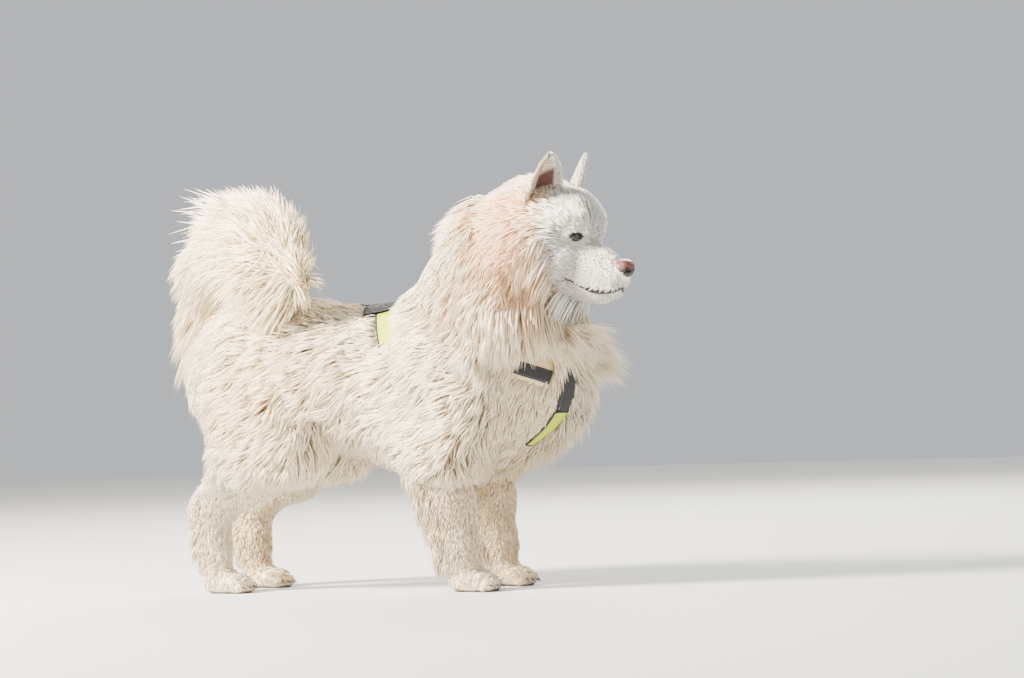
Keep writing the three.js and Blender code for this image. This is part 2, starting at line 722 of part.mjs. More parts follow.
// Locks. Those of one node are cut clear of the other nodes' flesh, of the bands and of the locks
// laid before them. None grow where the harness is seen.
const BARE = [
  ...SPINE,
  ...sided(-1, SIDE_PANEL),
  ...sided(1, SIDE_PANEL),
  ...CHEST_PLATE,
  ...CHEST_PANEL,
  ...girthPath.filter(([, , z]) => z > 430),
];
const BARE_HALF = 40;
const bareAt = (p) => BARE.some(([x, y, z]) => p.distanceTo(vec(x, y, z)) < BARE_HALF);
function courses(core, field, coatAt, allowed, tries) {
  return rootsOn(core, field, coatAt, (p, n) => allowed(p, n) && !bareAt(p), tries).flatMap(({ p, coat }) => {
    const fits = [1, 0.75, 0.55]
      .map((share) => ({ ...coat, length: coat.length * share, height: coat.height * share }))
      .map((shorter) => ({ coat: shorter, stops: course(field, p, shorter) }))
      .find(({ stops }) => !stops.some(({ place }) => bareAt(place)));
    return fits ? [fits] : [];
  });
}

const inEar = (p) => ["right", "left"].some((name) => p.distanceTo(inHead(-30, SIDES[name] * 62, 115)) < 52);
const cheek = (p) => {
  const d = p.clone().sub(vec(...EYE_MIDDLE));
  const [f, l, u] = [d.dot(FORWARD), Math.abs(d.dot(LEFT)), d.z];
  return !inEar(p) && f < -32 && (l > 40 || u > 60) && !(u > 40 && f > -60);
};
const anywhere = () => true;
const ORDER = [
  ["tail", tailField, tailCoat, anywhere],
  ["head", headField, headCoat, cheek],
  ["neck", bodyField, bodyCoat, anywhere],
  ["chest", bodyField, bodyCoat, (p) => p.z > 250],
  ["barrel", bodyField, bodyCoat, anywhere],
  ["rump", bodyField, bodyCoat, anywhere],
  ...Object.keys(limbFields).map((name) => [name, limbFields[name], bodyCoat, (p) => p.z > 92]),
];
const TRIES = 500;
const laid = [];
const bandRooms = Object.values(harness).map(({ path, ...how }) => band(path, { ...how, grow: 2 * GAP }));
for (const [name, field, coatAt, allowed] of ORDER) {
  const locks = courses(cores[name], field, coatAt, allowed, TRIES);
  if (!locks.length) continue;
  const others = Object.entries(REGION)
    .filter(([other]) => other !== name)
    .map(([, sides]) => sides.reduce((rest, one) => rest.intersect(wideSide[one]), bodyClear));
  const limbs = Object.entries(limbClears).filter(([other]) => other !== name);
  const blocks = [
    ...others,
    ...limbs.map(([, made]) => made),
    ...bandRooms,
    ...laid,
    ...(name === "head" ? [] : [headClear.intersect(wideSide.head)]),
    ...(name === "tail" ? [] : [tailClear]),
    ...(name === "head" || name === "neck" ? ears : []),
    wideSide.foot,
  ];
  const coat = blocks.reduce((made, one) => made.subtract(one), join(locks.map((one) => lock(one))));
  laid.push(join(locks.map((one) => lock(one, GAP + 0.1))));
  nodes[name] = largest(join([nodes[name], coat]));
}

const names = Object.keys(nodes);
names.forEach((first, i) => names.slice(i + 1).forEach((second) => part(first, second)));

// Looks
const look = (color, roughness) => new THREE.MeshStandardMaterial({ color, roughness, metalness: 0 });
const COAT = look("#f2e6d3", 0.9);
const NOSE_LEATHER = look("#4a2a28", 0.4);
const EYE_BALL = look("#1c100b", 0.08);
const WEBBING = look("#17181a", 0.75);
const BRIGHT_FABRIC = look("#c8dc1e", 0.7);
const materialOf = (name) => {
  if (name.startsWith("eye")) return EYE_BALL;
  if (name === "nose") return NOSE_LEATHER;
  if (name.includes("panel")) return BRIGHT_FABRIC;
  return name.startsWith("harness") ? WEBBING : COAT;
};

const dog = new THREE.Group();
for (const [name, made] of Object.entries(nodes)) {
  const mesh = made.getMesh();
  const geometry = new THREE.BufferGeometry();
  geometry.setAttribute("position", new THREE.BufferAttribute(mesh.vertProperties, 3));
  geometry.setIndex(new THREE.BufferAttribute(mesh.triVerts, 1));
  const one = new THREE.Mesh(geometry, materialOf(name));
  one.name = name;
  dog.add(one);
}

// The origin is under the middle of the whole, on the floor.
const whole = new THREE.Box3().setFromObject(dog);
const middle = whole.getCenter(vec(0, 0, 0));
dog.position.set(-middle.x, -middle.y, -whole.min.z);
dog.updateMatrixWorld(true);

export default dog;
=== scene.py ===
"""A life-size standing samoyed in a pulling harness: the looks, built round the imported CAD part.

The flesh is the CAD's own field of chained elliptical limbs, meshed finely as one skin.
The coat is solid tapered tufts rooted on that skin, which follow the lie of the hair.
Shapes are worked out in the CAD source's axes, with +X the way the dog faces, then moved onto the frame.
"""

import math

import bmesh
import bpy
import numpy as np
from mathutils import Matrix, Vector, kdtree


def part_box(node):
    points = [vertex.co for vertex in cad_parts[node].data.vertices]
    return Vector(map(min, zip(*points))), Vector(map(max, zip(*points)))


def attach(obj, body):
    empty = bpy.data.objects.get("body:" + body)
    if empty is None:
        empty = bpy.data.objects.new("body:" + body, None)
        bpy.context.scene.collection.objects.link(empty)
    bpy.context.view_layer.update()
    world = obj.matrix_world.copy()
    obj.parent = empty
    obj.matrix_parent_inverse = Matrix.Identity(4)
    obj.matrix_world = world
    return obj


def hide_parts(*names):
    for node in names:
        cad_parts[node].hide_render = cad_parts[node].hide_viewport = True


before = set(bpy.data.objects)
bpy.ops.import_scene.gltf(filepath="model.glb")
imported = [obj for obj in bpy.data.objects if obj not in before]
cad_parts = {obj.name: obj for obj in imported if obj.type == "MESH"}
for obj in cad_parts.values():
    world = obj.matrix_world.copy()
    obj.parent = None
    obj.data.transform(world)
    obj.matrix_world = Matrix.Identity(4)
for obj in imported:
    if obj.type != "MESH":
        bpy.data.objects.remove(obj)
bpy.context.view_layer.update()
rng = np.random.default_rng(11)
MM = 0.001

# Driving sizes, in millimetres as in the CAD source
PASTERN_X = 262
HOCK_X, HOCK_Z = -288, 165
HALF_TRACK = 74
EYE_MIDDLE = np.array([511.0, -20.0, 655.0]) * MM
HEAD_TURN = math.radians(-8)
EYE_SIDE, EYE_RADIUS, EYE_SUNK = 38 * MM, 11.5 * MM, 6 * MM
BLEND_BODY, BLEND_HEAD, BLEND_PAW = 34 * MM, 15 * MM, 7 * MM  # how softly limbs run together
SKIN_CELL = 7.5 * MM
WIDEST = 198 * MM  # how far the coat reaches to either side
HIGHEST_TAIL = 788 * MM
SHARE = 1.0  # of the tufts

FORWARD = np.array([math.cos(HEAD_TURN), math.sin(HEAD_TURN), 0])
LEFT = np.array([-math.sin(HEAD_TURN), math.cos(HEAD_TURN), 0])
UP = np.array([0, 0, 1.0])
SIDES = {"right": -1, "left": 1}


def unit(v):
    """Vectors of length one."""
    v = np.asarray(v, float)
    return v / np.maximum(np.linalg.norm(v, axis=-1, keepdims=True), 1e-12)


def smooth(t):
    """A soft step from 0 to 1."""
    t = np.clip(t, 0, 1)
    return t * t * (3 - 2 * t)


def ramp(value, start, run):
    """A soft step from 0 at start to 1 a run further on. A run below nothing leads downwards."""
    return smooth((value - start) / run)


def mix(a, b, t):
    return a + (b - a) * t


def in_head(f, l, u):
    """A point given from between the eyes: forward, left, up, in millimetres."""
    return EYE_MIDDLE + (f * FORWARD + l * LEFT + u * UP) * MM


def head_axes(p):
    """A point's distances forward, left and up from between the eyes."""
    d = p - EYE_MIDDLE
    return d @ FORWARD, d @ LEFT, d[..., 2]


# Flesh: chains of stations [x, y, z, half width, half height]
def mirror(chain, sign=-1):
    """A chain or path moved to the other side, or to the side of the sign."""
    return [[x, sign * y, *rest] for x, y, *rest in chain]


TORSO = [
    [-272, 0, 432, 78, 80],
    [-215, 0, 434, 116, 100],
    [-110, 0, 430, 124, 105],
    [10, 0, 416, 130, 118],
    [130, 0, 398, 136, 136],
    [240, 0, 392, 132, 144],
    [330, 0, 398, 108, 124],
    [380, 0, 402, 74, 88],
]
NECK = [
    [235, 0, 480, 124, 118],
    [305, -2, 560, 116, 112],
    [370, -8, 630, 96, 98],
    [418, -12, 675, 78, 80],
]
FORELEG = [
    [290, 92, 395, 58, 78],
    [222, 96, 272, 46, 54],
    [238, 84, 165, 34, 38],
    [253, 76, 85, 27, 29],
    [PASTERN_X, HALF_TRACK, 42, 25, 27],
]
HINDLEG = [
    [-195, 78, 418, 72, 104],
    [-145, 92, 352, 60, 92],
    [-98, 97, 292, 46, 58],
    [-195, 88, 226, 36, 46],
    [HOCK_X, 78, HOCK_Z, 23, 29],
    [HOCK_X - 2, 75, 92, 21, 25],
    [HOCK_X + 8, HALF_TRACK, 42, 23, 26],
]
TAIL = [
    [-262, 0, 505, 30, 32],
    [-285, -12, 580, 32, 32],
    [-268, -34, 642, 34, 34],
    [-212, -62, 688, 36, 36],
    [-142, -92, 688, 36, 36],
    [-82, -118, 650, 34, 34],
    [-50, -134, 600, 28, 28],
]
SKULL = [[-72, 0, 6, 66, 66], [-30, 0, 22, 60, 58]]
FOREHEAD = [[-34, 0, 30, 56, 50], [-22, 0, 20, 44, 44]]
MUZZLE = [[-12, 0, -42, 45, 38], [32, 0, -56, 33, 31], [74, 0, -71, 23, 23]]
JAW = [[-40, 0, -84, 40, 28], [30, 0, -101, 24, 19], [62, 0, -104, 17, 12]]
CHEEK = [[-66, 46, -22, 34, 52], [-34, 42, -44, 30, 38]]
FLEW = [[8, 27, -76, 14, 18], [60, 13, -86, 12, 13]]
BROW = [[-12, 22, 16, 15, 13], [-18, 42, 10, 12, 11]]


def head_chain(chain):
    """A chain given from between the eyes, in the body's axes."""
    return [[*(in_head(f, l, u) / MM), w, h] for f, l, u, w, h in chain]


def segment_distance(p, a, b):
    """Rough distance to one elliptical segment, less than nothing inside it."""
    axis = b[:3] - a[:3]
    length = np.linalg.norm(axis)
    q = p - a[:3]
    t = np.clip(q @ axis / length**2, 0, 1)
    d = q - t[:, None] * axis
    along = d @ axis / length
    side = unit(np.array([0, 1.0, 0]) - axis * axis[1] / length**2)
    across = d @ side
    rest = np.maximum((d * d).sum(1) - along**2 - across**2, 0)
    w = mix(a[3], b[3], t)
    h = mix(a[4], b[4], t)
    least = np.minimum(w, h)
    return (np.sqrt((across / w) ** 2 + rest / h**2 + (along / least) ** 2) - 1) * least


def soft_min(a, b, k):
    """The lesser of two fields, rounded over a width k where they meet."""
    h = np.maximum(k - np.abs(a - b), 0) / k
    return np.minimum(a, b) - h * h * k / 4


def field_of(chains, blend):
    """The field of some chains: distance to their surface, less than nothing inside."""
    pairs = [pair for chain in chains for pair in zip(chain[:-1], chain[1:])]
    segments = [(np.array(a) * MM, np.array(b) * MM) for a, b in pairs]

    def field(p):
        d = np.full(len(p), 1.0)
        for a, b in segments:
            d = soft_min(d, segment_distance(p, a, b), blend)
        return d

    return field


TOES = (-1.5, -0.5, 0.5, 1.5)  # each toe's place beside the paw's middle, in toe breadths


def paw_chains(x, y):
    """The pad and four toes of a paw."""
    toes = [
        [[x + 18, y + 13 * i, 22, 10, 13], [x + 46 - 5 * abs(i), y + 15 * i, 10, 9.5, 13]] for i in TOES
    ]
    return [[[x - 22, y, 20, 24, 24], [x + 16, y, 17, 29, 22]], *toes]


PAW_X = {"fore": PASTERN_X + 14, "hind": HOCK_X + 26}
body_field = field_of([TORSO, NECK, FORELEG, mirror(FORELEG), HINDLEG, mirror(HINDLEG)], BLEND_BODY)
HEAD_PARTS = [SKULL, FOREHEAD, MUZZLE, JAW, CHEEK, mirror(CHEEK), FLEW, mirror(FLEW), BROW, mirror(BROW)]
head_field = field_of([*map(head_chain, HEAD_PARTS), NECK[2:]], BLEND_HEAD)
tail_field = field_of([TAIL], BLEND_BODY)
paw_places = [(x, sign * HALF_TRACK) for x in PAW_X.values() for sign in SIDES.values()]
paw_field = field_of([chain for place in paw_places for chain in paw_chains(*place)], BLEND_PAW)

# Where each finer part of the flesh reaches, and how softly it joins the body
PARTS = [
    (head_field, lambda p: (p[:, 0] > 0.29) & (p[:, 2] > 0.45), 0.018),
    (tail_field, lambda p: (p[:, 0] < 0.03) & (p[:, 2] > 0.44), 0.02),
    (paw_field, lambda p: p[:, 2] < 0.09, 0.012),
]


def flesh(p):
    """The whole flesh as one field."""
    d = body_field(p)
    for field, reaches, blend in PARTS:
        near = reaches(p)
        if near.any():
            d[near] = soft_min(d[near], field(p[near]), blend)
    return d


def slope(field, p):
    """The field's height and slope at each point."""
    e = 0.001
    here = field(p)
    return here, np.stack([(field(p + e * axis) - here) / e for axis in np.eye(3)], 1)


def normals_of(field, p):
    """The way out of the surface at each point."""
    return unit(slope(field, p)[1])


def settle(field, p, height, steps=3, most=0.03):
    """Moves points along the slope until they lie at that height over the surface."""
    for _ in range(steps):
        here, g = slope(field, p)
        step = np.clip((height - here) / np.maximum((g * g).sum(1), 0.05), -most, most)
        p = p + g * step[:, None]
    return p


# Where the eyes are, and so where the CAD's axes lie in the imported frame
def eye_place(sign):
    return settle(head_field, in_head(6, sign * EYE_SIDE / MM, 0)[None], -EYE_SUNK, 4)[0]


EYES = {name: eye_place(sign) for name, sign in SIDES.items()}
box_middles = [np.mean([np.array(corner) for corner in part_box(f"eye_{name}")], axis=0) for name in SIDES]
SHIFT = np.mean(box_middles, axis=0) - np.mean(list(EYES.values()), axis=0)


# Meshes
def make(name, vertices, faces, material, smooth_shaded=True):
    """A mesh object from arrays, moved onto the frame."""
    vertices = np.asarray(vertices).reshape(-1, 3)
    faces = np.asarray(faces)
    mesh = bpy.data.meshes.new(name)
    mesh.vertices.add(len(vertices))
    mesh.vertices.foreach_set("co", (vertices + SHIFT).astype(np.float32).ravel())
    mesh.loops.add(faces.size)
    mesh.loops.foreach_set("vertex_index", faces.astype(np.int32).ravel())
    mesh.polygons.add(len(faces))
    mesh.polygons.foreach_set("loop_start", np.arange(len(faces), dtype=np.int32) * faces.shape[1])
    mesh.update(calc_edges=True)
    mesh.validate()
    mesh.polygons.foreach_set("use_smooth", np.full(len(mesh.polygons), smooth_shaded))
    mesh.materials.append(material)
    piece = bpy.data.objects.new(name, mesh)
    bpy.context.scene.collection.objects.link(piece)
    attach(piece, "root")
    return piece


def paint(piece, colours):
    """Gives each vertex its colour."""
    layer = piece.data.color_attributes.new("tint", "FLOAT_COLOR", "POINT")
    rgba = np.ones((len(piece.data.vertices), 4), np.float32)
    rgba[:, :3] = np.reshape(colours, (-1, 3))
    layer.data.foreach_set("color", rgba.ravel())


def grid_faces(rows, columns, looped=False):
    """Quads between rows of points. Each row is joined end to end, and so are the rows where looped."""
    i, j = np.meshgrid(np.arange(rows if looped else rows - 1), np.arange(columns), indexing="ij")
    k = (j + 1) % columns
    row, next_row = i * columns, (i + 1) % rows * columns
    return np.stack([row + j, row + k, next_row + k, next_row + j], -1).reshape(-1, 4)


def surface_nets(field, low, high, cell):
    """Meshes a field's surface with one vertex in each crossed cell."""
    count = np.ceil((high - low) / cell).astype(int) + 1
    ways = np.eye(3, dtype=int)
    axes = [low[i] + cell * np.arange(count[i]) for i in range(3)]
    points = np.stack(np.meshgrid(*axes, indexing="ij"), -1).reshape(-1, 3)
    values = field(points).reshape(count)
    cells = count - 1
    total = np.zeros((*cells, 3))
    hits = np.zeros(cells)

    def at(corner):
        return values[tuple(slice(c, c + n) for c, n in zip(corner, cells))]

    corners = [np.array([c & 1, c >> 1 & 1, c >> 2 & 1]) for c in range(8)]
    for a in corners:
        for axis in range(3):
            if a[axis]:
                continue
            b = a + ways[axis]
            va, vb = at(a), at(b)
            crossed = (va < 0) != (vb < 0)
            t = np.where(crossed, va / np.where(crossed, va - vb, 1), 0)
            total[crossed] += a + t[crossed, None] * (b - a)
            hits += crossed
    used = hits > 0
    index = np.full(cells, -1)
    index[used] = np.arange(used.sum())
    vertices = low + (np.argwhere(used) + total[used] / hits[used][:, None]) * cell
    faces = []
    inside = values < 0
    for axis in range(3):
        step, u, v = ways[axis], ways[(axis + 1) % 3], ways[(axis + 2) % 3]
        core = tuple(slice(1, n - 1) for n in count)
        shifted = tuple(slice(1 + s, n - 1 + s) for s, n in zip(step, count))
        edges = np.argwhere(inside[core] != inside[shifted]) + 1
        quad = [index[tuple((edges - a * u - b * v).T)] for a, b in ((0, 0), (1, 0), (1, 1), (0, 1))]
        quad = np.stack(quad, 1)
        turned = ~inside[tuple(edges.T)]
        quad[turned] = quad[turned][:, ::-1]
        faces.append(quad)
    return vertices, np.concatenate(faces)


# Materials
def material(name, color, roughness, tinted=False, coat=0.0, sheen=0.0, glow=0.0, bump=None):
    """A plain surface. bump is (kind, scale, depth in metres)."""
    made = bpy.data.materials.new(name)
    made.use_nodes = True
    nodes, links = made.node_tree.nodes, made.node_tree.links
    shader = nodes["Principled BSDF"]
    settings = {
        "Base Color": (*color, 1),
        "Roughness": roughness,
        "Coat Weight": coat,
        "Coat Roughness": 0.05,
        "Sheen Weight": sheen,
        "Subsurface Weight": glow,
        "Subsurface Radius": (0.012, 0.009, 0.006),
        "Subsurface Scale": 1.0,
    }
    for setting, value in settings.items():
        shader.inputs[setting].default_value = value
    if tinted:
        tint = nodes.new("ShaderNodeAttribute")
        tint.attribute_name = "tint"
        links.new(tint.outputs["Color"], shader.inputs["Base Color"])
    if bump:
        kind, scale, depth = bump
        where = nodes.new("ShaderNodeTexCoord")
        texture = nodes.new(f"ShaderNodeTex{kind}")
        texture.inputs["Scale"].default_value = scale
        links.new(where.outputs["Object"], texture.inputs["Vector"])
        raised = nodes.new("ShaderNodeBump")
        raised.inputs["Distance"].default_value = depth
        links.new(texture.outputs[0], raised.inputs["Height"])
        links.new(raised.outputs["Normal"], shader.inputs["Normal"])
    return made


HAIR_BASE = (0.9, 0.85, 0.75)
NOSE_GRAIN = ("Voronoi", 900, 0.0006)
HAIR = material("hair", HAIR_BASE, 0.6, tinted=True, sheen=0.1, glow=0.4)
SHORT_HAIR = material("short_hair", HAIR_BASE, 0.7, tinted=True, sheen=0.2, bump=("Noise", 420, 0.0012))
NOSE_LEATHER = material("nose_leather", (0.1, 0.04, 0.035), 0.35, tinted=True, coat=0.25, bump=NOSE_GRAIN)
LIP = material("lip", (0.018, 0.013, 0.013), 0.42, coat=0.1, bump=("Noise", 700, 0.0005))
EYE = material("eye", (0.02, 0.01, 0.006), 0.16, tinted=True, coat=0.25)
LID = material("lid", (0.03, 0.02, 0.02), 0.5, tinted=True, bump=("Noise", 600, 0.0005))
EAR_SKIN = material("ear_skin", (0.5, 0.3, 0.25), 0.65, tinted=True, bump=("Noise", 380, 0.0008))
CLAW = material("claw", (0.16, 0.11, 0.09), 0.35)
WEBBING = material("webbing", (0.012, 0.012, 0.014), 0.62, bump=("Voronoi", 620, 0.0009))
BRIGHT = material("bright_fabric", (0.5, 0.62, 0.005), 0.6, bump=("Voronoi", 420, 0.0009))
THREAD = material("thread", (0.11, 0.11, 0.12), 0.6)
FLOOR = material("floor", (0.6, 0.61, 0.62), 0.8)

# Markings: the coat's colours, and its warm patches, which lie alike on both sides
CREAM = np.array([0.96, 0.76, 0.46])
WHITE = np.array([0.97, 0.85, 0.64])
FACE = np.array([0.95, 0.91, 0.84])
BISCUIT = np.array([0.88, 0.36, 0.10])
TAN = np.array([0.82, 0.50, 0.24])
PATCHES = [
    # x, y, z, radius, strength, colour
    [392, 92, 702, 52, 1.0, BISCUIT],
    [430, 74, 708, 26, 0.9, BISCUIT],
    [412, 104, 645, 44, 0.8, BISCUIT],
    [420, 100, 590, 46, 0.8, BISCUIT],
    [330, 140, 600, 60, 0.3, BISCUIT],
    [300, 150, 520, 55, 0.3, BISCUIT],
    [20, 165, 510, 45, 0.4, BISCUIT],
    [80, 165, 430, 55, 0.35, BISCUIT],
    [-40, 165, 400, 80, 0.25, TAN],
    [-130, 150, 330, 90, 0.35, TAN],
    [300, 110, 250, 60, 0.35, TAN],
    [240, 110, 190, 60, 0.3, TAN],
    [260, 90, 90, 70, 0.4, TAN],
    [-260, 90, 120, 70, 0.25, TAN],
]


def noise(p, scale, seed):
    """A cheap smooth noise from -1 to 1: a few waves in turned directions."""
    waves = np.random.default_rng(seed).normal(size=(5, 3))
    phases = np.random.default_rng(seed + 1).uniform(0, 6.28, 5)
    return sum(np.sin(p @ w * 2.2 / scale + a) for w, a in zip(waves, phases)) / 3.2


def tint(p):
    """The coat's colour at a place on the skin."""
    colour = mix(CREAM, WHITE, smooth(0.5 + 0.6 * noise(p, 0.16, 5))[:, None] * 0.6)
    f, l, u = head_axes(p)
    face = ramp(f, -0.045, 0.03)
    colour = mix(colour, FACE, (face * 0.9)[:, None])
    for x, y, z, radius, strength, warm in PATCHES:
        for sign in SIDES.values():
            d = np.linalg.norm(p - np.array([x, sign * y, z]) * MM, axis=1) / (radius * MM)
            amount = strength * np.exp(-d * d) * (0.75 + 0.35 * noise(p, 0.03, 8)) * (1 - 0.8 * face)
            colour = mix(colour, warm, np.clip(amount, 0, 1)[:, None])
    return colour


# Skin
LOOK = [0.62, 0.76, 0.06]  # the way an eye looks: forward, outwards, up
ALMOND = {"half": 11.4, "upper": 5.8, "lower": 4.4, "tilt": 0.22}
SKIN_LOW = np.array([-370, -190, -20]) * MM
SKIN_HIGH = np.array([660, 190, 770]) * MM
LIP_BLACK = np.array([0.02, 0.014, 0.013])
SOLE_BLACK = np.array([0.12, 0.08, 0.075])
SOCKET_HALF = (0.0118, 0.0085)  # to the side and upwards
SOCKET_DEPTH = 0.022
CREASE = 0.0035  # how wide and how deep the mouth's crease is


def eye_axes(sign):
    """The way an eye looks, with level and upright ways across it."""
    look = unit(LOOK[0] * FORWARD + sign * LOOK[1] * LEFT + LOOK[2] * UP)
    level = unit(np.cross(UP, look)) * sign
    return look, level, unit(np.cross(look, level)) * sign


MOUTH = [[-20, 46, -77], [6, 42, -91], [34, 33, -102], [63, 21, -104], [86, 0, -99]]


def curve(points, count, closed=False):
    """A smooth line through points, as that many places evenly spaced in its length."""
    points = np.asarray(points, float)
    size = len(points)
    if closed:
        extended = np.concatenate([points[-1:], points, points[:2]])
        spans = size
    else:
        extended = np.concatenate([2 * points[:1] - points[1:2], points, 2 * points[-1:] - points[-2:-1]])
        spans = size - 1
    fine = 24
    t = np.arange(spans * fine + (0 if closed else 1)) / fine
    i = np.minimum(t.astype(int), spans - 1)
    s = (t - i)[:, None]
    a, b, c, d = (extended[i + k] for k in range(4))
    line = 0.5 * (2 * b + (c - a) * s + (2 * a - 5 * b + 4 * c - d) * s**2 + (3 * b - 3 * c + d - a) * s**3)
    if closed:
        line = np.concatenate([line, line[:1]])
    run = np.concatenate([[0], np.cumsum(np.linalg.norm(np.diff(line[:, :3], axis=0), axis=1))])
    wanted = np.linspace(0, run[-1], count + 1)[:-1] if closed else np.linspace(0, run[-1], count)
    return np.stack([np.interp(wanted, run, line[:, k]) for k in range(line.shape[1])], 1)


mouth_ends = np.array([in_head(*point) for point in MOUTH])
mouth_other = np.array([in_head(f, -l, u) for f, l, u in MOUTH[-2::-1]])
mouth_line = settle(head_field, curve(np.concatenate([mouth_ends, mouth_other]), 70), 0)
for _ in range(8):
    mouth_line[1:-1] = (mouth_line[:-2] + 2 * mouth_line[1:-1] + mouth_line[2:]) / 4


def tree_of(places):
    """A search tree over places."""
    tree = kdtree.KDTree(len(places))
    for i, place in enumerate(places):
        tree.insert(place, i)
    tree.balance()
    return tree


def nearest(p, line):
    """How far each point is from the nearest place of a line."""
    tree = tree_of(line)
    return np.array([tree.find(point)[2] for point in p])


skin_points, skin_faces = surface_nets(flesh, SKIN_LOW, SKIN_HIGH, SKIN_CELL)
skin_points = settle(flesh, skin_points, 0, 2)
skin = make("skin", skin_points, skin_faces, SHORT_HAIR)


def refine_head():
    """Splits the faces of the head, settles them on the flesh, and carves the eye sockets and mouth."""
    work = bmesh.new()
    work.from_mesh(skin.data)
    face_middle = in_head(20, 0, -30)
    for _ in range(2):
        near = [e for e in work.edges if (e.verts[0].co - Vector(face_middle + SHIFT)).length < 0.13]
        bmesh.ops.subdivide_edges(work, edges=near, cuts=1, use_grid_fill=True)
    bmesh.ops.triangulate(work, faces=work.faces[:])
    work.to_mesh(skin.data)
    work.free()
    p = np.empty(len(skin.data.vertices) * 3)
    skin.data.vertices.foreach_get("co", p)
    p = p.reshape(-1, 3) - SHIFT
    near = np.linalg.norm(p - face_middle, axis=1) < 0.15
    p[near] = settle(flesh, p[near], 0, 3)
    for name, sign in SIDES.items():
        look, level, upright = eye_axes(sign)
        d = p - EYES[name]
        wide = np.sqrt((d @ level / SOCKET_HALF[0]) ** 2 + (d @ upright / SOCKET_HALF[1]) ** 2)
        sunk = ramp(wide, 1.25, -0.35) * (d @ look > 0)
        p -= look * (sunk * SOCKET_DEPTH)[:, None]
    depth = CREASE * np.exp(-((nearest(p[near], mouth_line) / CREASE) ** 2))
    p[near] -= normals_of(flesh, p[near]) * depth[:, None]
    p[:, 2] = np.maximum(p[:, 2], 0.0004)
    skin.data.vertices.foreach_set("co", (p + SHIFT).astype(np.float32).ravel())
    skin.data.polygons.foreach_set("use_smooth", np.ones(len(skin.data.polygons), bool))
    skin.data.update()
    return p


skin_points = refine_head()
# Painted shade: the skin under the coat is painted a little darker than the hair.
skin_tint = tint(skin_points) * 0.92
lip_near = np.linalg.norm(skin_points - in_head(30, 0, -90), axis=1) < 0.11
lip_shade = np.zeros(len(skin_points))
lip_shade[lip_near] = ramp(nearest(skin_points[lip_near], mouth_line), 0.0052, -0.002)
skin_tint = mix(skin_tint, LIP_BLACK, lip_shade[:, None])
skin_tint[skin_points[:, 2] < 0.005] = SOLE_BLACK
paint(skin, skin_tint)
LIMBS = ("foreleg", "hindleg", "paw_fore", "paw_hind")
FLESH_NODES = ["head", "neck", "chest", "barrel", "rump", "tail"]
FLESH_NODES += [f"{limb}_{side}" for limb in LIMBS for side in SIDES]
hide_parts(*FLESH_NODES)


def unwrap():
    """The skin's own unwrap, from its shape."""
    bpy.context.view_layer.objects.active = skin
    skin.select_set(True)
    bpy.ops.object.mode_set(mode="EDIT")
    bpy.ops.mesh.select_all(action="SELECT")
    bpy.ops.uv.smart_project(angle_limit=math.radians(60), island_margin=0.002)
    bpy.ops.object.mode_set(mode="OBJECT")
    skin.data.uv_layers[0].name = "OFBake"
    uv = np.empty(len(skin.data.loops) * 2, np.float32)
    skin.data.uv_layers[0].data.foreach_get("uv", uv)
    corners = np.empty(len(skin.data.loops), np.int32)
    skin.data.loops.foreach_get("vertex_index", corners)
    return corners.reshape(-1, 3), uv.reshape(-1, 3, 2)


skin_triangles, skin_uv = unwrap()


# Harness: flat bands that follow the body. A path point is [x, y, z, width].
STRAP_THICK = 3.2 * MM
BAND_COLUMNS = 9
STITCH = (0.0034, 0.0008, 0.0008)  # along, across and out, in metres
STITCH_APART = 0.0052
BINDING_RADIUS = 0.0019
GIRTH_X = 152
GIRTH = [
    [GIRTH_X - 18 * math.cos(a), 130 * math.sin(a), 398 + 136 * math.cos(a), 24]
    for a in np.arange(10) * 2 * math.pi / 10
]
SHOULDER_STRAP = [
    [420, 34, 396, 26],
    [388, 108, 428, 26],
    [318, 138, 492, 28],
    [248, 112, 560, 28],
    [205, 46, 590, 28],
]
SIDE_PANEL = [[112, 24, 540, 76], [128, 74, 512, 56], [140, 112, 470, 34], [150, 128, 430, 24]]
SPINE = [[196, 0, 600, 34], [150, 0, 545, 30], [60, 0, 540, 30], [8, 0, 538, 20]]
CHEST_PLATE = [[432, 0, 420, 84], [440, 0, 375, 76], [432, 0, 340, 58]]
CHEST_PANEL = [[431, 0, 338, 58], [410, 0, 300, 50], [370, 0, 270, 34]]
BELLY = [[366, 0, 268, 30], [290, 0, 250, 28], [166, 0, 262, 26]]
SADDLE = [[84, 6, 545, 74], [92, 40, 534, 78], [98, 66, 516, 66]]
SADDLE_HEIGHT = 7.4 * MM

# name: path, closed, height of the inner face over the skin (mm), bright or black, seen or under the coat
HARNESS = {
    "harness_girth": (GIRTH, True, 0.2, False, False),
    "harness_spine": (SPINE, False, 3.6, False, True),
    "harness_panel_right": (mirror(SIDE_PANEL), False, 3.6, True, True),
    "harness_panel_left": (SIDE_PANEL, False, 3.6, True, True),
    "harness_shoulder_right": (mirror(SHOULDER_STRAP), False, 1.5, False, False),
    "harness_shoulder_left": (SHOULDER_STRAP, False, 1.5, False, False),
    "harness_chest_plate": (CHEST_PLATE, False, 6.0, False, True),
    "harness_chest_panel": (CHEST_PANEL, False, 6.0, True, True),
    "harness_belly": (BELLY, False, 0.2, False, False),
}


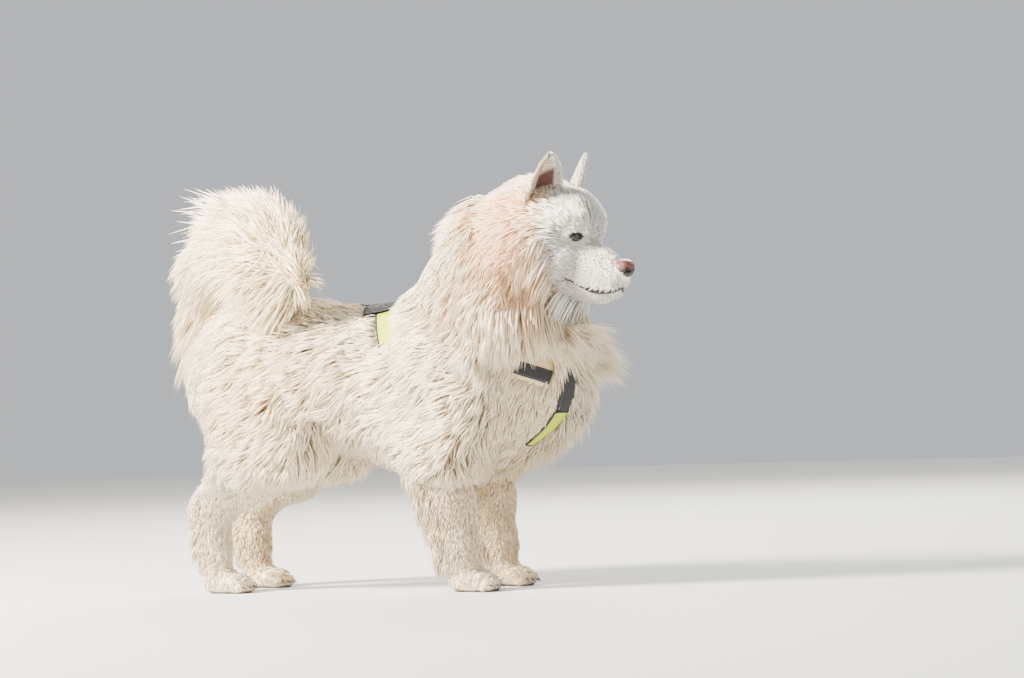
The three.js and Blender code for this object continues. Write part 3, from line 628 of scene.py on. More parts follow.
def band_grid(path, closed, base, steps=70):
    """A band's outer face as a grid of points, and its closed cross sections."""
    line = curve(np.array(path, float) * MM, steps, closed)
    centre, width = line[:, :3], line[:, 3]
    centre = settle(body_field, centre, 0)
    along = np.roll(centre, -1, 0) - np.roll(centre, 1, 0) if closed else np.gradient(centre, axis=0)
    out = normals_of(body_field, centre)
    across = unit(np.cross(along, out))
    v = np.linspace(-0.5, 0.5, BAND_COLUMNS)
    flat = centre[:, None] + across[:, None] * (width[:, None] * v)[..., None]
    laid = settle(body_field, flat.reshape(-1, 3), 0, 2).reshape(flat.shape)
    edge = 1 - 0.35 * (np.abs(v) > 0.49)
    lower = laid + out[:, None] * base
    upper = laid + out[:, None] * (base + STRAP_THICK * edge)[None, :, None]
    return upper, np.concatenate([upper, lower[:, ::-1]], 1)


def band(name, path, closed, base, bright):
    """One strap or panel of the harness. Gives its outer face."""
    upper, rings = band_grid(path, closed, base * MM)
    rows, columns = rings.shape[:2]
    faces = grid_faces(rows, columns, closed)
    if not closed:
        k = np.arange(columns // 2 - 1)
        cap = np.stack([k, columns - 1 - k, columns - 2 - k, k + 1], 1)
        faces = np.concatenate([faces, cap, (rows - 1) * columns + cap[:, ::-1]])
    piece = make(name + "_cloth", rings, faces[:, ::-1], BRIGHT if bright else WEBBING)
    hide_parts(name)
    return upper


def box_at(places, along, across, out, size):
    """Small boxes at many places, as one array of corners and faces."""
    signs = np.array([[i, j, k] for i in (-1, 1) for j in (-1, 1) for k in (-1, 1)]) / 2
    corners = (
        places[:, None]
        + along[:, None] * (signs[:, 0] * size[0])[None, :, None]
        + across[:, None] * (signs[:, 1] * size[1])[None, :, None]
        + out[:, None] * (signs[:, 2] * size[2])[None, :, None]
    )
    quads = np.array([[0, 1, 3, 2], [4, 6, 7, 5], [0, 4, 5, 1], [2, 3, 7, 6], [0, 2, 6, 4], [1, 5, 7, 3]])
    faces = (np.arange(len(places))[:, None, None] * 8 + quads).reshape(-1, 4)
    return corners.reshape(-1, 3), faces


def stitches(name, upper):
    """A row of stitches inside each edge of a band."""
    corners, faces, total = [], [], 0
    for column, inward in ((0, 1), (-1, -2)):
        edge = mix(upper[:, column], upper[:, inward], 0.9)
        count = max(int(np.linalg.norm(np.diff(edge, axis=0), axis=1).sum() / STITCH_APART), 4)
        line = curve(edge[::3], count)
        along, out = unit(np.gradient(line, axis=0)), normals_of(body_field, line)
        made = box_at(line + out * 0.0002, along, np.cross(along, out), out, STITCH)
        corners.append(made[0])
        faces.append(made[1] + total)
        total += len(made[0])
    piece = make(name + "_stitches", np.concatenate(corners), np.concatenate(faces), THREAD, False)


def tube(name, line, radius, made_of, sides=8, closed=False):
    """A round cord along a line, tapered where radius is given as an array."""
    radius = np.broadcast_to(radius, len(line))
    along = unit(np.roll(line, -1, 0) - np.roll(line, 1, 0) if closed else np.gradient(line, axis=0))
    side = unit(np.cross(along, UP + 0.01))
    other = np.cross(along, side)
    a = np.arange(sides) * 2 * math.pi / sides
    ring = line[:, None] + radius[:, None, None] * (
        side[:, None] * np.cos(a)[None, :, None] + other[:, None] * np.sin(a)[None, :, None]
    )
    piece = make(name, ring, grid_faces(len(line), sides, closed), made_of)


# The harness shows at the withers and on the breastbone. Elsewhere the coat closes over it.
seen_cloth = []
for name, (path, closed, base, bright, shown) in HARNESS.items():
    upper = band(name, path, closed, base, bright)
    if shown:
        seen_cloth.append(upper[:, 2:-2].reshape(-1, 3))
        stitches(name, upper)
    if "shoulder" in name:
        seen_cloth.append(upper[: len(upper) // 5, 1:-1].reshape(-1, 3))
        stitches(name, upper)
    if bright:
        border = np.concatenate([upper[:, 0], upper[-1], upper[::-1, -1], upper[0, ::-1]])
        border = curve(border[::5], 140, True)
        tube(name + "_binding", border, BINDING_RADIUS, WEBBING, closed=True)
for name, sign in SIDES.items():
    upper, rings = band_grid(mirror(SADDLE, sign), False, SADDLE_HEIGHT, steps=24)
    faces = grid_faces(*rings.shape[:2])
    piece = make(f"saddle_{name}", rings, faces[:, ::-1], WEBBING)
    stitches(f"saddle_{name}", upper)
    seen_cloth.append(upper.reshape(-1, 3))
girth_seen = curve(np.array(GIRTH)[:, :3] * MM, 120, True)
seen_cloth.append(settle(body_field, girth_seen[girth_seen[:, 2] > 0.5], 0))
seen_cloth = np.concatenate(seen_cloth)
x, y, z = seen_cloth.T
withers = (x < 0.165) & (z > 0.475)
breastbone = (x > 0.3) & (y < 0.008) & ((z <= 0.405) | (y <= -0.045))
cloth_shadow = settle(body_field, seen_cloth[withers | breastbone], 0)[::2]


# Eyes
def ball(rows, columns):
    """A ball's angles from its front pole and round it, and its points as forward, left and up."""
    polar = np.linspace(0.001, math.pi - 0.001, rows)[:, None]
    a = np.arange(columns)[None] * 2 * math.pi / columns
    return polar, a, (np.cos(polar) * np.ones_like(a), np.sin(polar) * np.cos(a), np.sin(polar) * np.sin(a))


def eyeball(name, sign):
    """The ball, with its pupil and dark iris painted on."""
    rows, columns = 40, 48
    polar, a, shares = ball(rows, columns)
    dirs = sum(share[..., None] * way for share, way in zip(shares, eye_axes(sign)))
    bulge = 1 + 0.05 * np.exp(-((polar / 0.45) ** 2))
    points = EYES[name] + dirs * EYE_RADIUS * bulge[..., None]
    piece = make(f"eyeball_{name}", points, grid_faces(rows, columns), EYE)
    angle = np.repeat(polar, columns, 1).ravel()
    rays = np.sin(np.tile(a, (rows, 1)) * 23).ravel()[:, None]
    pupil = np.array([0.002, 0.002, 0.002])
    iris = np.array([0.014, 0.007, 0.004]) * (0.8 + 0.4 * rays**2)
    rim = np.array([0.008, 0.005, 0.004])
    white = np.array([0.06, 0.045, 0.04])
    colour = mix(pupil, iris, ramp(angle, 0.3, 0.08)[:, None])
    colour = mix(colour, rim, ramp(angle, 0.72, 0.08)[:, None])
    colour = mix(colour, white, ramp(angle, 0.98, 0.1)[:, None])
    paint(piece, colour)
    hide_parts(f"eye_{name}")


LID_ROWS = [
    # share of the almond, radius over the ball's (mm), share turned into the face, share dark
    (1.0, 0.15, 0.0, 1),
    (1.02, 0.9, 0.0, 1),
    (1.12, 1.7, 0.0, 1),
    (1.26, 2.1, 0.0, 1),
    (1.42, 1.9, 0.25, 1),
    (1.62, 1.2, 0.6, 0.6),
    (1.9, 0.6, 1.0, 0),
    (2.2, -0.8, 1.0, 0),
]


def lids(name, sign):
    """Both lids of an eye as one ring, from the wet rim out into the face."""
    look, level, upright = eye_axes(sign)
    count = 56
    a = np.arange(count) * 2 * math.pi / count
    wave = np.sin(a) * np.abs(np.sin(a)) ** 0.25
    x0 = ALMOND["half"] * np.cos(a)
    outer = np.clip(np.cos(a), 0, 1) ** 2
    y0 = np.where(np.sin(a) > 0, ALMOND["upper"], ALMOND["lower"]) * wave + ALMOND["tilt"] * x0
    rings = []
    for share, over, turned, _ in LID_ROWS:
        x = x0 * (1 + (share - 1) * 0.55) * (1 + 0.24 * outer * (share > 1.1))
        y = y0 * share + (share - 1) * 3.5 * np.sign(np.sin(a)) * np.abs(np.sin(a)) ** 0.5
        radius = EYE_RADIUS / MM * 1.02 + over
        depth = np.sqrt(np.maximum(radius**2 - x**2 - y**2, 4))
        on_ball = EYES[name] + (depth[:, None] * look + x[:, None] * level + y[:, None] * upright) * MM
        on_face = settle(flesh, on_ball, over * MM * 0.6, 4)
        rings.append(mix(on_ball, on_face, turned))
    rings = np.array(rings)
    piece = make(f"lids_{name}", rings, grid_faces(len(rings), count), LID)
    dark = np.repeat([row[3] for row in LID_ROWS], count)[:, None]
    paint(piece, mix(tint(rings.reshape(-1, 3)) * 0.8, LIP_BLACK, dark))


for name, sign in SIDES.items():
    eyeball(name, sign)
    lids(name, sign)


# Nose and lips
NOSE_CENTRE = in_head(86, 0, -63)
NOSE_RADII = np.array([19, 20, 18]) * MM


def nose():
    """The nose leather, with comma-shaped nostrils and the groove between them."""
    rows, columns = 90, 110
    _, _, shares = ball(rows, columns)
    local = np.stack(shares, -1)
    square = (np.abs(local) ** 2.5).sum(-1, keepdims=True) ** (-1 / 2.5)
    local = local * mix(1, square, 0.6)
    local[..., 1] *= 1 - 0.16 * np.clip(-local[..., 2], 0, 1)
    l, u = local[..., 1], local[..., 2]
    front = shares[0] > 0
    nostril = np.zeros_like(l)
    for sign in SIDES.values():
        hole = ((l - sign * 0.46) / 0.25) ** 2 + ((u + 0.12 - 0.1 * sign * (l - sign * 0.46)) / 0.26) ** 2
        slit = ((l - sign * 0.72) / 0.22) ** 2 + ((u + 0.42) / 0.1) ** 2
        nostril = np.maximum(nostril, np.maximum(np.exp(-(hole**2)), 0.7 * np.exp(-(slit**2))) * front)
    groove = np.exp(-((l / 0.06) ** 2)) * ramp(u, 0.1, -0.3) * front
    local[..., 0] -= 0.42 * nostril + 0.06 * groove
    points = NOSE_CENTRE + (local * NOSE_RADII) @ np.stack([FORWARD, LEFT, UP])
    piece = make("nose_pad", points, grid_faces(rows, columns), NOSE_LEATHER)
    pink = np.array([0.17, 0.045, 0.035])
    black = np.array([0.022, 0.013, 0.013])
    colour = mix(black, pink, ramp(u, -0.25, 0.5)[..., None] * 0.9)
    # Painted shade: the nostrils are painted darker than the leather round them.
    colour = mix(colour, black * 0.4, np.clip(nostril * 1.2, 0, 1)[..., None])
    paint(piece, colour)
    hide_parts("nose")


nose()


def lips():
    """Dark edges of the upper and lower lip, full at the front and fine at the corners."""
    share = np.abs(np.linspace(-1, 1, len(mouth_line)))
    out = normals_of(head_field, mouth_line)
    full = 1 - ramp(share, 0.45, 0.3)
    for name, lift, size in (("lip_upper", 1.8, 3.2), ("lip_lower", -2.8, 2.8)):
        radius = MM * mix(1.25, size, full) * (1 - 0.5 * ramp(share, 0.8, 0.2))
        line = mouth_line + UP * (lift * mix(0.3, 1, full) * MM)[:, None] + out * 0.0004
        tube(name, line, radius, LIP, sides=10)


lips()


# Ears: cups that open forwards and outwards
EAR = {
    "base": [-48, 60, 70],
    "across": [-0.55, 0.75, -0.42],
    "height": [22, 2, 84],
    "half": 43,
    "cup": 22,
    "wall": 9,
}


def ear(name, sign):
    """One ear as a closed cup. Gives its points, how far each is inside, and the ear's tip."""

    def way(f, l, u):
        return f * FORWARD + sign * l * LEFT + u * UP

    base = in_head(EAR["base"][0], sign * EAR["base"][1], EAR["base"][2])
    across = unit(way(*EAR["across"]))
    height = way(*EAR["height"]) * MM
    opening = unit(np.cross(across, height)) * sign
    rows, columns = 34, 25
    s = np.linspace(-0.18, 0.985, rows)[:, None]
    v = np.linspace(-1, 1, columns)[None]
    u = np.clip(s, 0, 1)
    half = EAR["half"] * np.sqrt(1 - u**1.35)

    def face(wall):
        deep = EAR["cup"] * (1 - u) ** 0.8 * (1 - v * v) + wall * (1 - 0.7 * v**4)
        spread = (v * half * np.ones_like(s)) * MM
        return base + s[..., None] * height + spread[..., None] * across - (deep * MM)[..., None] * opening

    inner, outer = face(1.0), face(EAR["wall"] * 0.8)
    rings = np.concatenate([inner, outer[:, ::-1]], 1)
    faces = grid_faces(rows, 2 * columns)
    top = (rows - 1) * 2 * columns
    k = np.arange(columns - 1)
    cap = np.stack([top + k, top + 2 * columns - 1 - k, top + 2 * columns - 2 - k, top + k + 1], 1)
    faces = np.concatenate([faces, cap])
    if sign > 0:
        faces = faces[:, ::-1]
    piece = make(f"ear_{name}_shell", rings, faces, EAR_SKIN)
    inside = np.zeros(rings.shape[:2])
    inside[:, :columns] = ramp(np.abs(v + 0.05), 0.72, -0.25) * ramp(s, 0.8, -0.3)
    dark = np.array([0.075, 0.022, 0.018])
    fur = tint(rings.reshape(-1, 3)) * 0.9
    paint(piece, mix(fur, dark, np.clip(inside.reshape(-1, 1) * 1.1, 0, 1)))
    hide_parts(f"ear_{name}")
    return rings, inside, base + height


ears = {name: ear(name, sign) for name, sign in SIDES.items()}

# Claws
CLAW_PATH = np.array([[0, 0, 0], [7, 0, -1.5], [12, 0, -6.5]]) * MM
CLAW_RADII = np.linspace(3.0, 0.5, 8) * MM


def claws():
    """A curved claw before each toe."""
    for pair, x in PAW_X.items():
        for name, sign in SIDES.items():
            for i, toe in enumerate(TOES):
                start = np.array([x + 53 - 5 * abs(toe), sign * HALF_TRACK + 15 * toe, 13]) * MM
                line = curve(start + CLAW_PATH, len(CLAW_RADII))
                tube(f"claw_{pair}_{name}_{i}", line, CLAW_RADII, CLAW)


claws()


# Coat. Its lengths are in metres, and a direction is [x, y, z].
# How many tufts are begun. Those in the way of something are then left out.
TUFTS = {"body": 74000, "ruff": 11000, "head": 33000, "tail": 15000, "ear": 2600}
MOST_TRIANGLES = 190000  # in one piece
TAPER = {4: np.array([0.65, 1.0, 0.72, 0.0]), 3: np.array([0.8, 0.8, 0.0])}  # a tuft's width by station
WIDTH_RANGE = (0.7, 1.2)
COAT_FLATNESS, FACE_FLATNESS = 0.4, 0.35  # a tuft's height over its width
# Painted shade: each tuft is painted darker at its root, deep in the coat, than at its tip.
ROOT_SHADE = 0.86
ROOT_DEPTH = 0.002
IN_GROUP = 12  # how many tufts make a lock
RISE = (0, 0.7, 1.0)  # how far each station of a laid tuft has risen to its height
FALLING_STATIONS = 4
CLOTH_NEAR, CLOTH_CLEAR = 0.2, 0.0045  # where tufts are tested against the harness, and their clearance
SOLE_TOP = 0.012
# A cut is a place on it and the way it faces.
HEAD_CUT = (np.array([392, 0, 650]) * MM, unit([0.86, -0.1, 0.5]))
NECK_MIDDLE = (np.array([265, 0, 515]) * MM, unit([0.62, 0, 0.78]))
TAIL_WHORL = np.array([-40, -150, 598]) * MM
# Which way the hair lies
LIE = {
    "side": np.array([-0.85, 0, -0.5]),
    "rear": np.array([-0.35, 0, -0.95]),
    "neck": np.array([-0.42, 0, -0.9]),
    "front": np.array([-0.1, 0, -1.0]),
    "limb": np.array([-0.25, 0, -1.0]),
    "ruff": np.array([-0.35, 0, -0.6]),
    "breast": np.array([0.0, 0, -0.4]),
    "cheek": np.array([-0.75, 0, -0.66]),
    "tail_root": np.array([-0.5, -0.1, -0.8]),
    "tail_inside": np.array([-0.3, 0, -0.9]),
}


def sample(points, triangles, uv, weight, count):
    """Random roots on a mesh, thicker where weight is more, with their places on its unwrap."""
    a, b, c = (points[triangles[:, k]] for k in range(3))
    cross = np.cross(b - a, c - a)
    area = np.linalg.norm(cross, axis=1) / 2
    share = area * weight((a + b + c) / 3)
    pick = np.searchsorted(np.cumsum(share), rng.random(count) * share.sum())
    pick = np.minimum(pick, len(triangles) - 1)
    r, s = np.sqrt(rng.random(count)), rng.random(count)
    weights = np.stack([1 - r, r * (1 - s), r * s], 1)
    roots = (points[triangles[pick]] * weights[..., None]).sum(1)
    places = (uv[pick] * weights[..., None]).sum(1)
    return roots, unit(cross[pick]), places


def skin_roots(weight, count):
    """Random roots on the skin."""
    return sample(skin_points, skin_triangles, skin_uv, weight, count)


def tuft_faces(stations):
    """The triangles of one tuft: a cap at the root, three sides and the tip."""
    faces = [[0, 1, 2]]
    for row in range(stations - 2):
        for k in range(3):
            a, b = row * 3 + k, row * 3 + (k + 1) % 3
            faces += [[a, a + 3, b + 3], [a, b + 3, b]]
    last = (stations - 2) * 3
    faces += [[last + k, last + 3, last + (k + 1) % 3] for k in range(3)]
    return np.array(faces)


def tufts(name, keep, roots, courses, normals, width, flatness, uv):
    """The kept tufts: three-sided and tapered along courses of stations, in pieces of limited size."""
    colours = tint(roots)[keep]
    courses, normals, width, uv = (values[keep] for values in (courses, normals, width, uv))
    count, stations = courses.shape[:2]
    taper = TAPER[stations]
    along = unit(np.gradient(courses, axis=1))
    across = unit(np.cross(along, normals[:, None]))
    out = np.cross(across, along)
    half = (width[:, None] * taper / 2)[..., None]
    high = ((width * flatness)[:, None] * taper)[..., None]
    ring = np.stack([courses + across * half, courses + out * high, courses - across * half], 2)[:, :-1]
    points = np.concatenate([ring.reshape(count, -1, 3), courses[:, -1:]], 1)
    size = points.shape[1]
    faces = tuft_faces(stations)
    steps = np.concatenate([np.repeat(np.arange(stations - 1), 3), [stations - 1]]) / (stations - 1)
    # Painted shade: the colour darkens from the tip to the root. Each tuft also gets its own random tone.
    shade = mix(ROOT_SHADE, 1.0, smooth(steps * 1.3))[None, :, None]
    shade = shade * rng.uniform(0.9, 1.06, (count, 1, 1))
    tinted = np.clip(colours[:, None] * shade, 0, 1)
    patch = np.stack([np.tile([0, 1, 2], stations)[:size], steps * 3], 1) * 0.001
    places = uv[:, None] + patch
    each = MOST_TRIANGLES // len(faces)
    for part, start in enumerate(range(0, count, each)):
        end = min(start + each, count)
        all_faces = (np.arange(end - start)[:, None, None] * size + faces).reshape(-1, 3)
        piece = make(f"{name}_{part}", points[start:end], all_faces, HAIR)
        paint(piece, tinted[start:end])
        corner_places = places[start:end].reshape(-1, 2)[all_faces.ravel()]
        layer = piece.data.uv_layers.new(name="OFBake")
        layer.data.foreach_set("uv", corner_places.astype(np.float32).ravel())


def clumped(courses, in_group, pull):
    """Draws the outer stations of each tuft towards those of the leader of its group."""
    leaders = max(len(courses) // in_group, 1)
    tree = tree_of(courses[:leaders, 0])
    leader = np.array([tree.find(place)[1] for place in courses[:, 0]])
    amount = (np.linspace(0, 1, courses.shape[1]) ** 1.2)[None, :, None] * pull
    return mix(courses, courses[leader], amount)


def laid(roots, lie, length, height, curl=0.05):
    """Courses that follow the skin: each station a step along the lie, lifted to its height."""
    p = settle(flesh, roots, -ROOT_DEPTH, 1)
    courses = [p]
    normals = normals_of(flesh, p)
    swing = rng.normal(size=(len(roots), 1)) * curl
    for k in range(1, len(RISE)):
        normal = normals_of(flesh, p)
        heading = unit(lie - normal * (lie * normal).sum(1, keepdims=True))
        side = np.cross(normal, heading)
        heading = unit(heading + side * swing * k)
        p = p + heading * (length * (1 / (len(RISE) - 1)))[:, None]
        p = settle(flesh, p, height * RISE[k], 1, 0.08)
        courses.append(p)
    return np.stack(courses, 1), normals


def falling(roots, heading, length, droop, curl):
    """Courses that stand out along a heading, then fall."""
    p = roots
    d = unit(heading)
    courses = [p]
    swing = rng.normal(size=(len(roots), 3)) * curl
    for _ in range(1, FALLING_STATIONS):
        p = p + d * (length / (FALLING_STATIONS - 1))[:, None]
        d = unit(d + droop + swing)
        courses.append(p)
    return np.stack(courses, 1)


def bares_cloth(courses):
    """Which tufts stay clear of the seen harness, and of the space over it."""
    clear = np.ones(len(courses), bool)
    near = np.nonzero(nearest(courses[:, 0], cloth_shadow) < CLOTH_NEAR)[0]
    for k in range(courses.shape[1]):
        feet = settle(body_field, courses[near, k], 0, 2, 0.1)
        clear[near] &= nearest(feet, cloth_shadow) > CLOTH_CLEAR
    return clear


def past(cut, p, margin, run):
    """A soft step across a cut, which is a place and the way it faces."""
    place, facing = cut
    return smooth(((p - place) @ facing + margin) / run)


def head_share(p):
    """How far a place belongs to the head's coat. The next two do the same for the neck and tail."""
    return past(HEAD_CUT, p, 0.012, 0.024)


def on_neck(p):
    return past(NECK_MIDDLE, p, 0.05, 0.08)


def tail_share(p):
    return (tail_field(p) < body_field(p) - 0.004).astype(float)


def body_style(p, n):
    """Lie, length and lift of the coat on the trunk, neck and legs."""
    x, y, z = p.T
    rear = ramp(x, -0.16, -0.1)
    neck = on_neck(p)
    below = ramp(n[:, 2], -0.2, -0.5)
    belly = (x > 0) & (x < 0.19) & (z > 0.24)
    limb = np.where(belly, 0, ramp(z, 0.27, -0.07))
    hind = (x < -0.02).astype(float)
    nape = ramp(n[:, 0], 0.4, -0.5) * neck * ramp(z, 0.70, -0.05)
    far_breast = ramp(y, 0.01, 0.04) * ramp(x, 0.32, 0.06) * ramp(z, 0.5, -0.05)
    front = ramp(n[:, 0], 0.3, 0.5) * (1 - neck)
    lie = mix(LIE["side"], LIE["rear"], np.maximum(rear, below * 0.8)[:, None])
    for part, amount in (("neck", neck), ("front", front), ("limb", limb)):
        lie = mix(lie, LIE[part], amount[:, None])
    feather = np.clip(-n[:, 0], 0, 1) * mix(0.024, 0.011, hind)
    length = mix(mix(0.060, 0.072, rear), 0.072 - 0.02 * nape, neck)
    length = mix(length, 0.018 + 1.7 * feather, limb)
    height = mix(mix(0.033, 0.026, rear), 0.048 - 0.036 * nape, neck) + 0.004 * below + 0.03 * far_breast
    height = mix(height, 0.006 + feather, limb)
    foot = ramp(z, 0.075, -0.04)
    return lie, mix(length, 0.011, foot), mix(height, 0.004, foot)


def swirl(lie, p, n, amount):
    """Turns the lie by a smooth noise, so that the coat breaks into locks."""
    turn = noise(p, 0.05, 21) * 0.6 + noise(p, 0.018, 33) * 0.5 + noise(p, 0.009, 47) * 0.4
    return unit(lie) + np.cross(n, unit(lie)) * (turn * amount)[:, None]


def trunk_coat():
    """The long coat of the trunk and neck, and the short coat of the legs."""
    count = int(TUFTS["body"] * SHARE)

    def weight(p):
        legs = np.where(p[:, 2] < 0.24, 1.5, 1.0)
        return (1 - head_share(p)) * (1 - tail_share(p)) * legs * (p[:, 2] > SOLE_TOP)

    roots, n, uv = skin_roots(weight, count)
    lie, length, height = body_style(roots, n)
    away = nearest(roots, cloth_shadow)
    breast = ramp(roots[:, 0], 0.3, 0.06) * ramp(roots[:, 2], 0.47, -0.06)
    reach = mix(0.07, np.where(roots[:, 1] > 0, 0.04, 0.13), breast)
    # Near the harness the coat lies flat.
    flat = mix(0.35, 0.2, breast) + mix(0.65, 0.8, breast) * ramp(away, 0.012, reach)
    layer = rng.uniform(0.45, 1.12, count)
    height = height * flat * layer
    length = length * rng.uniform(0.75, 1.15, count) * (0.5 + 0.5 * flat)
    lie = swirl(lie, roots, n, 0.62)
    courses, normals = laid(roots, lie, length, height, curl=0.12)
    courses = clumped(courses, IN_GROUP, 0.45)
    keep = bares_cloth(courses) & (courses[:, :, 2].min(1) > 0.003)
    width = mix(0.0046, 0.003, ramp(roots[:, 2], 0.26, -0.1)) * rng.uniform(*WIDTH_RANGE, count)
    tufts("coat_body", keep, roots, courses, normals, width, COAT_FLATNESS, uv)


def ruff_coat():
    """The long hair that stands out round the neck and under the jaw, then falls."""
    count = int(TUFTS["ruff"] * SHARE)

    def weight(p):
        f, l, u = head_axes(p)
        jaw = ramp(u, -0.085, -0.02) * ramp(f, 0.0, -0.05)
        cheek = ramp(np.abs(l), 0.045, 0.02) * ramp(f, -0.02, -0.04) * (u < 0.03)
        head = head_share(p) * np.maximum(jaw, cheek)
        neck = (1 - head_share(p)) * on_neck(p) * (p[:, 2] > 0.42)
        front = ramp(p[:, 0] - 0.22 - 0.35 * (p[:, 2] - 0.45), 0, 0.06)
        return np.maximum(head, neck * front) * (1 - tail_share(p))

    roots, n, uv = skin_roots(weight, count)
    ahead = ramp(n[:, 0], 0.1, 0.6) * ramp(roots[:, 2], 0.59, -0.05)
    away = nearest(roots, cloth_shadow)
    flat = np.maximum(ramp(away, 0.02, 0.09), ramp(roots[:, 1], 0.02, 0.03))
    length = mix(0.085, 0.145, ahead) * rng.uniform(0.6, 1.1, count) * mix(0.5, 1, flat)
    side = np.array([0, 1, 0]) * np.sign(roots[:, 1:2])
    stand = (ahead * flat)[:, None]
    heading = n * mix(0.35, 1.2, stand) + mix(LIE["ruff"], LIE["breast"], stand) + side * 0.15
    heading = swirl(heading, roots, n, 0.35)
    courses = falling(roots - n * ROOT_DEPTH, heading, length, np.array([-0.02, 0, -0.34]), curl=0.06)
    courses = clumped(courses, IN_GROUP, 0.45)
    keep = bares_cloth(courses) & (np.abs(courses[:, :, 1]).max(1) < WIDEST)
    width = 0.0042 * rng.uniform(*WIDTH_RANGE, count)
    tufts("coat_ruff", keep, roots, courses, n, width, COAT_FLATNESS, uv)


def over_eyes(p, middle, half):
    """Which points lie before either eye, within an ellipse given from the eye's middle."""
    over = np.zeros(len(p), bool)
    for name, sign in SIDES.items():
        look, level, upright = eye_axes(sign)
        d = p - EYES[name]
        wide = ((d @ level - middle[0]) / half[0]) ** 2 + ((d @ upright - middle[1]) / half[1]) ** 2
        over |= (wide < 1) & (d @ look > 0)
    return over


def head_coat():
    """The short fur of the face and the longer fur of the crown and cheeks, clear of eyes and lips."""
    count = int(TUFTS["head"] * SHARE)
    roots, n, uv = skin_roots(head_share, count)
    f, l, u = head_axes(roots)
    back = ramp(f, 0, -0.085)
    crown = ramp(u, 0.01, 0.05) * ramp(f, 0.03, -0.04)
    cheek = ramp(np.abs(l), 0.03, 0.035) * ramp(u, 0.07, -0.05)
    brow = ramp(u, -0.03, 0.04) * ramp(f, 0.06, -0.03)
    lie = unit(roots - in_head(100, 0, -62)) + np.array([0, 0, -0.1])
    lie = mix(lie, LIE["cheek"], (back * cheek)[:, None])
    length = mix(mix(0.010, 0.024, np.maximum(crown, brow)), 0.036, back) + 0.022 * back * cheek
    height = mix(mix(0.0038, 0.014, np.maximum(crown, brow * 0.8)), 0.022, back) + 0.008 * back * cheek
    eye_near = np.minimum(*[np.linalg.norm(roots - place, axis=1) for place in EYES.values()])
    from_eye = ramp(eye_near, 0.015, 0.02)
    length = length * mix(0.45, 1, from_eye)
    height = height * mix(0.3, 1, from_eye)
    keep = nearest(roots, mouth_line) > 0.005
    keep &= np.linalg.norm((roots - NOSE_CENTRE) / NOSE_RADII.max(), axis=1) > 1.08
    keep &= ~over_eyes(roots, (0.003, 0.001), (0.0185, 0.0095))
    lie = swirl(lie, roots, n, 0.5)
    length = length * rng.uniform(0.6, 1.2, count)
    height = height * rng.uniform(0.5, 1.15, count)
    courses, normals = laid(roots, lie, length, height)
    courses = clumped(courses, 10, 0.35)
    keep &= np.stack([nearest(courses[:, k], mouth_line) for k in (1, 2)], 1).min(1) > 0.0045
    keep &= ~over_eyes(courses[:, -1], (0.002, 0), (0.0165, 0.008))
    width = mix(0.0019, 0.0032, back) * rng.uniform(*WIDTH_RANGE, count)
    tufts("coat_head", keep, roots, courses, normals, width, FACE_FLATNESS, uv)


def tail_coat():
    """The plume: hair that fans out from the whorl at the tail's tip, and falls behind."""
    count = int(TUFTS["tail"] * SHARE)
    roots, n, uv = skin_roots(tail_share, count)
    out = roots - TAIL_WHORL
    out[:, 1] = 0
    reach = np.linalg.norm(out, axis=1)
    behind = ramp(roots[:, 0], -0.17, -0.09)
    low = ramp(roots[:, 2], 0.60, -0.08) * behind
    heading = unit(out) + n * 0.3 + np.array([0.1, 0, -0.55]) * behind[:, None]
    heading = mix(heading, LIE["tail_root"] + n * 0.3, low[:, None] * 0.8)
    length = mix(0.075, 0.085, behind) + 0.075 * low - 0.025 * ramp(roots[:, 2], 0.69, 0.03)
    length = length * mix(0.65, 1, smooth(reach / 0.12))
    # From the tip, hair also streams back across the hollow of the curl.
    tip = (roots[:, 0] > -0.17) & (rng.random(count) < 0.62)
    angle = rng.uniform(math.radians(70), math.radians(240), count)
    stream = np.stack([np.cos(angle), rng.normal(-0.05, 0.12, count), np.sin(angle)], 1)
    heading = np.where(tip[:, None], stream + n * 0.1, unit(heading))
    streamed = mix(0.06, 0.15, smooth(-np.cos(angle) * 1.25))
    length = np.where(tip, streamed, length) * rng.uniform(0.55, 1.15, count)
    heading = swirl(heading, roots, n, 0.25)
    inner = ramp(n[:, 1], 0.1, 0.4) * ~tip
    heading = mix(heading, LIE["tail_inside"] + n * 0.25, inner[:, None])
    length = mix(length, 0.06, inner)
    droop = np.array([-0.03, 0, -0.17]) + np.array([0, 0, -0.22]) * behind[:, None]
    courses = falling(roots - n * ROOT_DEPTH, heading, length, droop, curl=0.05)
    courses = clumped(courses, 16, np.where(tip, 0.1, 0.4)[:, None, None])
    width = 0.0046 * rng.uniform(*WIDTH_RANGE, count)
    keep = (np.abs(courses[:, :, 1]).max(1) < WIDEST) & (courses[:, :, 2].max(1) < HIGHEST_TAIL)
    tufts("coat_tail", keep, roots, courses, n, width, COAT_FLATNESS, uv)


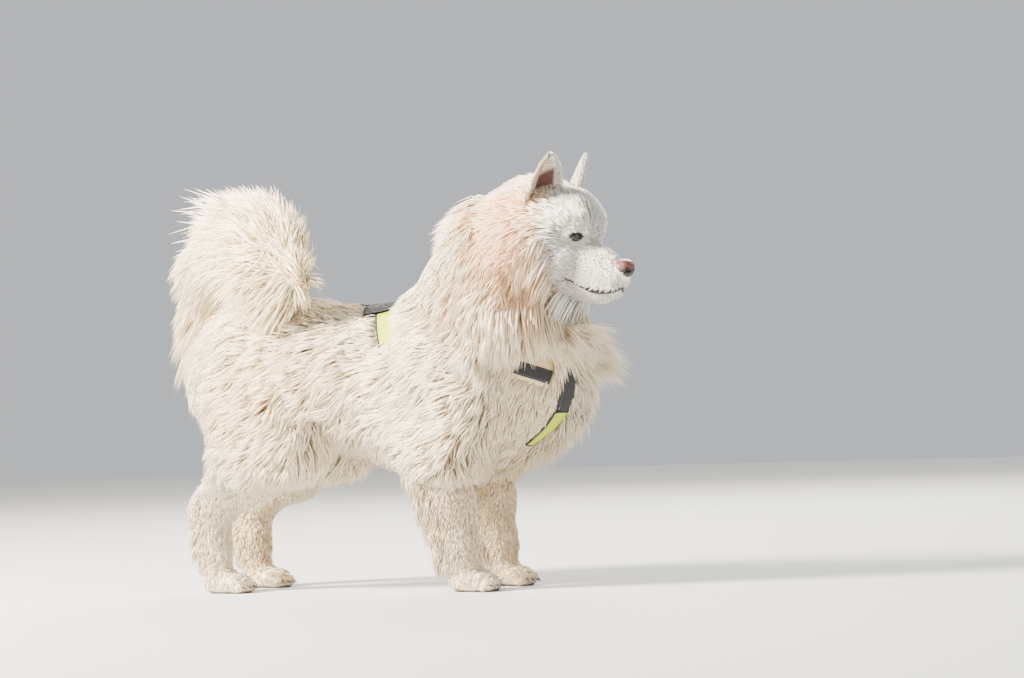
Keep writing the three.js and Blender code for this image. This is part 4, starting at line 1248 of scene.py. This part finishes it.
def ear_coat():
    """Short hair on the backs and rims of the ears."""
    skin_tree = tree_of(skin_points)
    nearest_uv = np.zeros((len(skin_points), 2))
    nearest_uv[skin_triangles.ravel()] = skin_uv.reshape(-1, 2)
    for name, (rings, inside, tip) in ears.items():
        faces = grid_faces(*rings.shape[:2])
        triangles = np.concatenate([faces[:, [0, 1, 2]], faces[:, [0, 2, 3]]])
        if SIDES[name] > 0:
            triangles = triangles[:, ::-1]
        triangles = triangles[inside.ravel()[triangles].mean(1) < 0.35]
        count = int(TUFTS["ear"] * SHARE)
        blank = np.zeros((len(triangles), 3, 2))
        roots, n, _ = sample(rings.reshape(-1, 3), triangles, blank, lambda p: np.ones(len(p)), count)
        uv = nearest_uv[[skin_tree.find(place)[1] for place in roots]]
        lie = unit(tip - roots)
        lie = unit(lie - n * (lie * n).sum(1, keepdims=True))
        to_tip = 0.75 * np.linalg.norm(tip - roots, axis=1) + 0.003
        length = np.minimum(rng.uniform(0.010, 0.020, count), to_tip)
        steps = np.array([0, 0.55, 1.0])[None, :, None]
        lift = np.array([-0.001, 0.0038, 0.0055])[None, :, None]
        courses = roots[:, None] + lie[:, None] * steps * length[:, None, None] + n[:, None] * lift
        width = rng.uniform(0.0018, 0.003, count)
        tufts(f"coat_ear_{name}", np.full(count, True), roots, courses, n, width, FACE_FLATNESS, uv)


trunk_coat()
ruff_coat()
head_coat()
tail_coat()
ear_coat()

# Floor, lights and camera
FLOOR_HALF = 6.0
floor_corners = np.array([[-1, -1, 0], [1, -1, 0], [1, 1, 0], [-1, 1, 0]]) * FLOOR_HALF - SHIFT
floor = make("floor", floor_corners, [[0, 1, 2, 3]], FLOOR)
LIGHTS_AIM = Vector((0, 0, 0.4))  # the dog's middle


def area_light(name, place, size, power, colour):
    """A square light aimed at the dog's middle."""
    data = bpy.data.lights.new(name, "AREA")
    data.size = size
    data.energy = power
    data.color = colour
    lamp = bpy.data.objects.new(name, data)
    lamp.location = place
    lamp.rotation_euler = (LIGHTS_AIM - Vector(place)).to_track_quat("-Z", "Y").to_euler()
    bpy.context.scene.collection.objects.link(lamp)


area_light("key", (-3.2, -2.6, 2.8), 1.2, 2100, (1.0, 0.91, 0.77))
area_light("fill", (3.2, -1.8, 1.8), 2.5, 60, (0.9, 0.94, 1.0))
area_light("back", (-0.6, 3.2, 2.6), 2.0, 300, (1.0, 0.95, 0.86))
world = bpy.data.worlds.new("pale")
world.use_nodes = True
world.node_tree.nodes["Background"].inputs["Color"].default_value = (0.9, 0.92, 0.95, 1)
world.node_tree.nodes["Background"].inputs["Strength"].default_value = 0.7
bpy.context.scene.world = world

CAMERA_AZIMUTH = math.radians(27)
CAMERA_ROLL = math.radians(2.3)
CAMERA_PLACE = np.array([3.6292, -6.4531, 0.4704]) + SHIFT
camera_data = bpy.data.cameras.new("camera")
camera_data.lens = 135
camera_data.sensor_width = 36
camera = bpy.data.objects.new("camera", camera_data)
back = np.array([math.sin(CAMERA_AZIMUTH), -math.cos(CAMERA_AZIMUTH), 0])
right = np.array([math.cos(CAMERA_AZIMUTH), math.sin(CAMERA_AZIMUTH), 0])
rolled_right = right * math.cos(CAMERA_ROLL) - UP * math.sin(CAMERA_ROLL)
rolled_up = UP * math.cos(CAMERA_ROLL) + right * math.sin(CAMERA_ROLL)
camera_axes = np.stack([rolled_right, rolled_up, back, CAMERA_PLACE], 1)
camera.matrix_world = Matrix([*camera_axes.tolist(), [0, 0, 0, 1]])
bpy.context.scene.collection.objects.link(camera)
bpy.context.scene.camera = camera
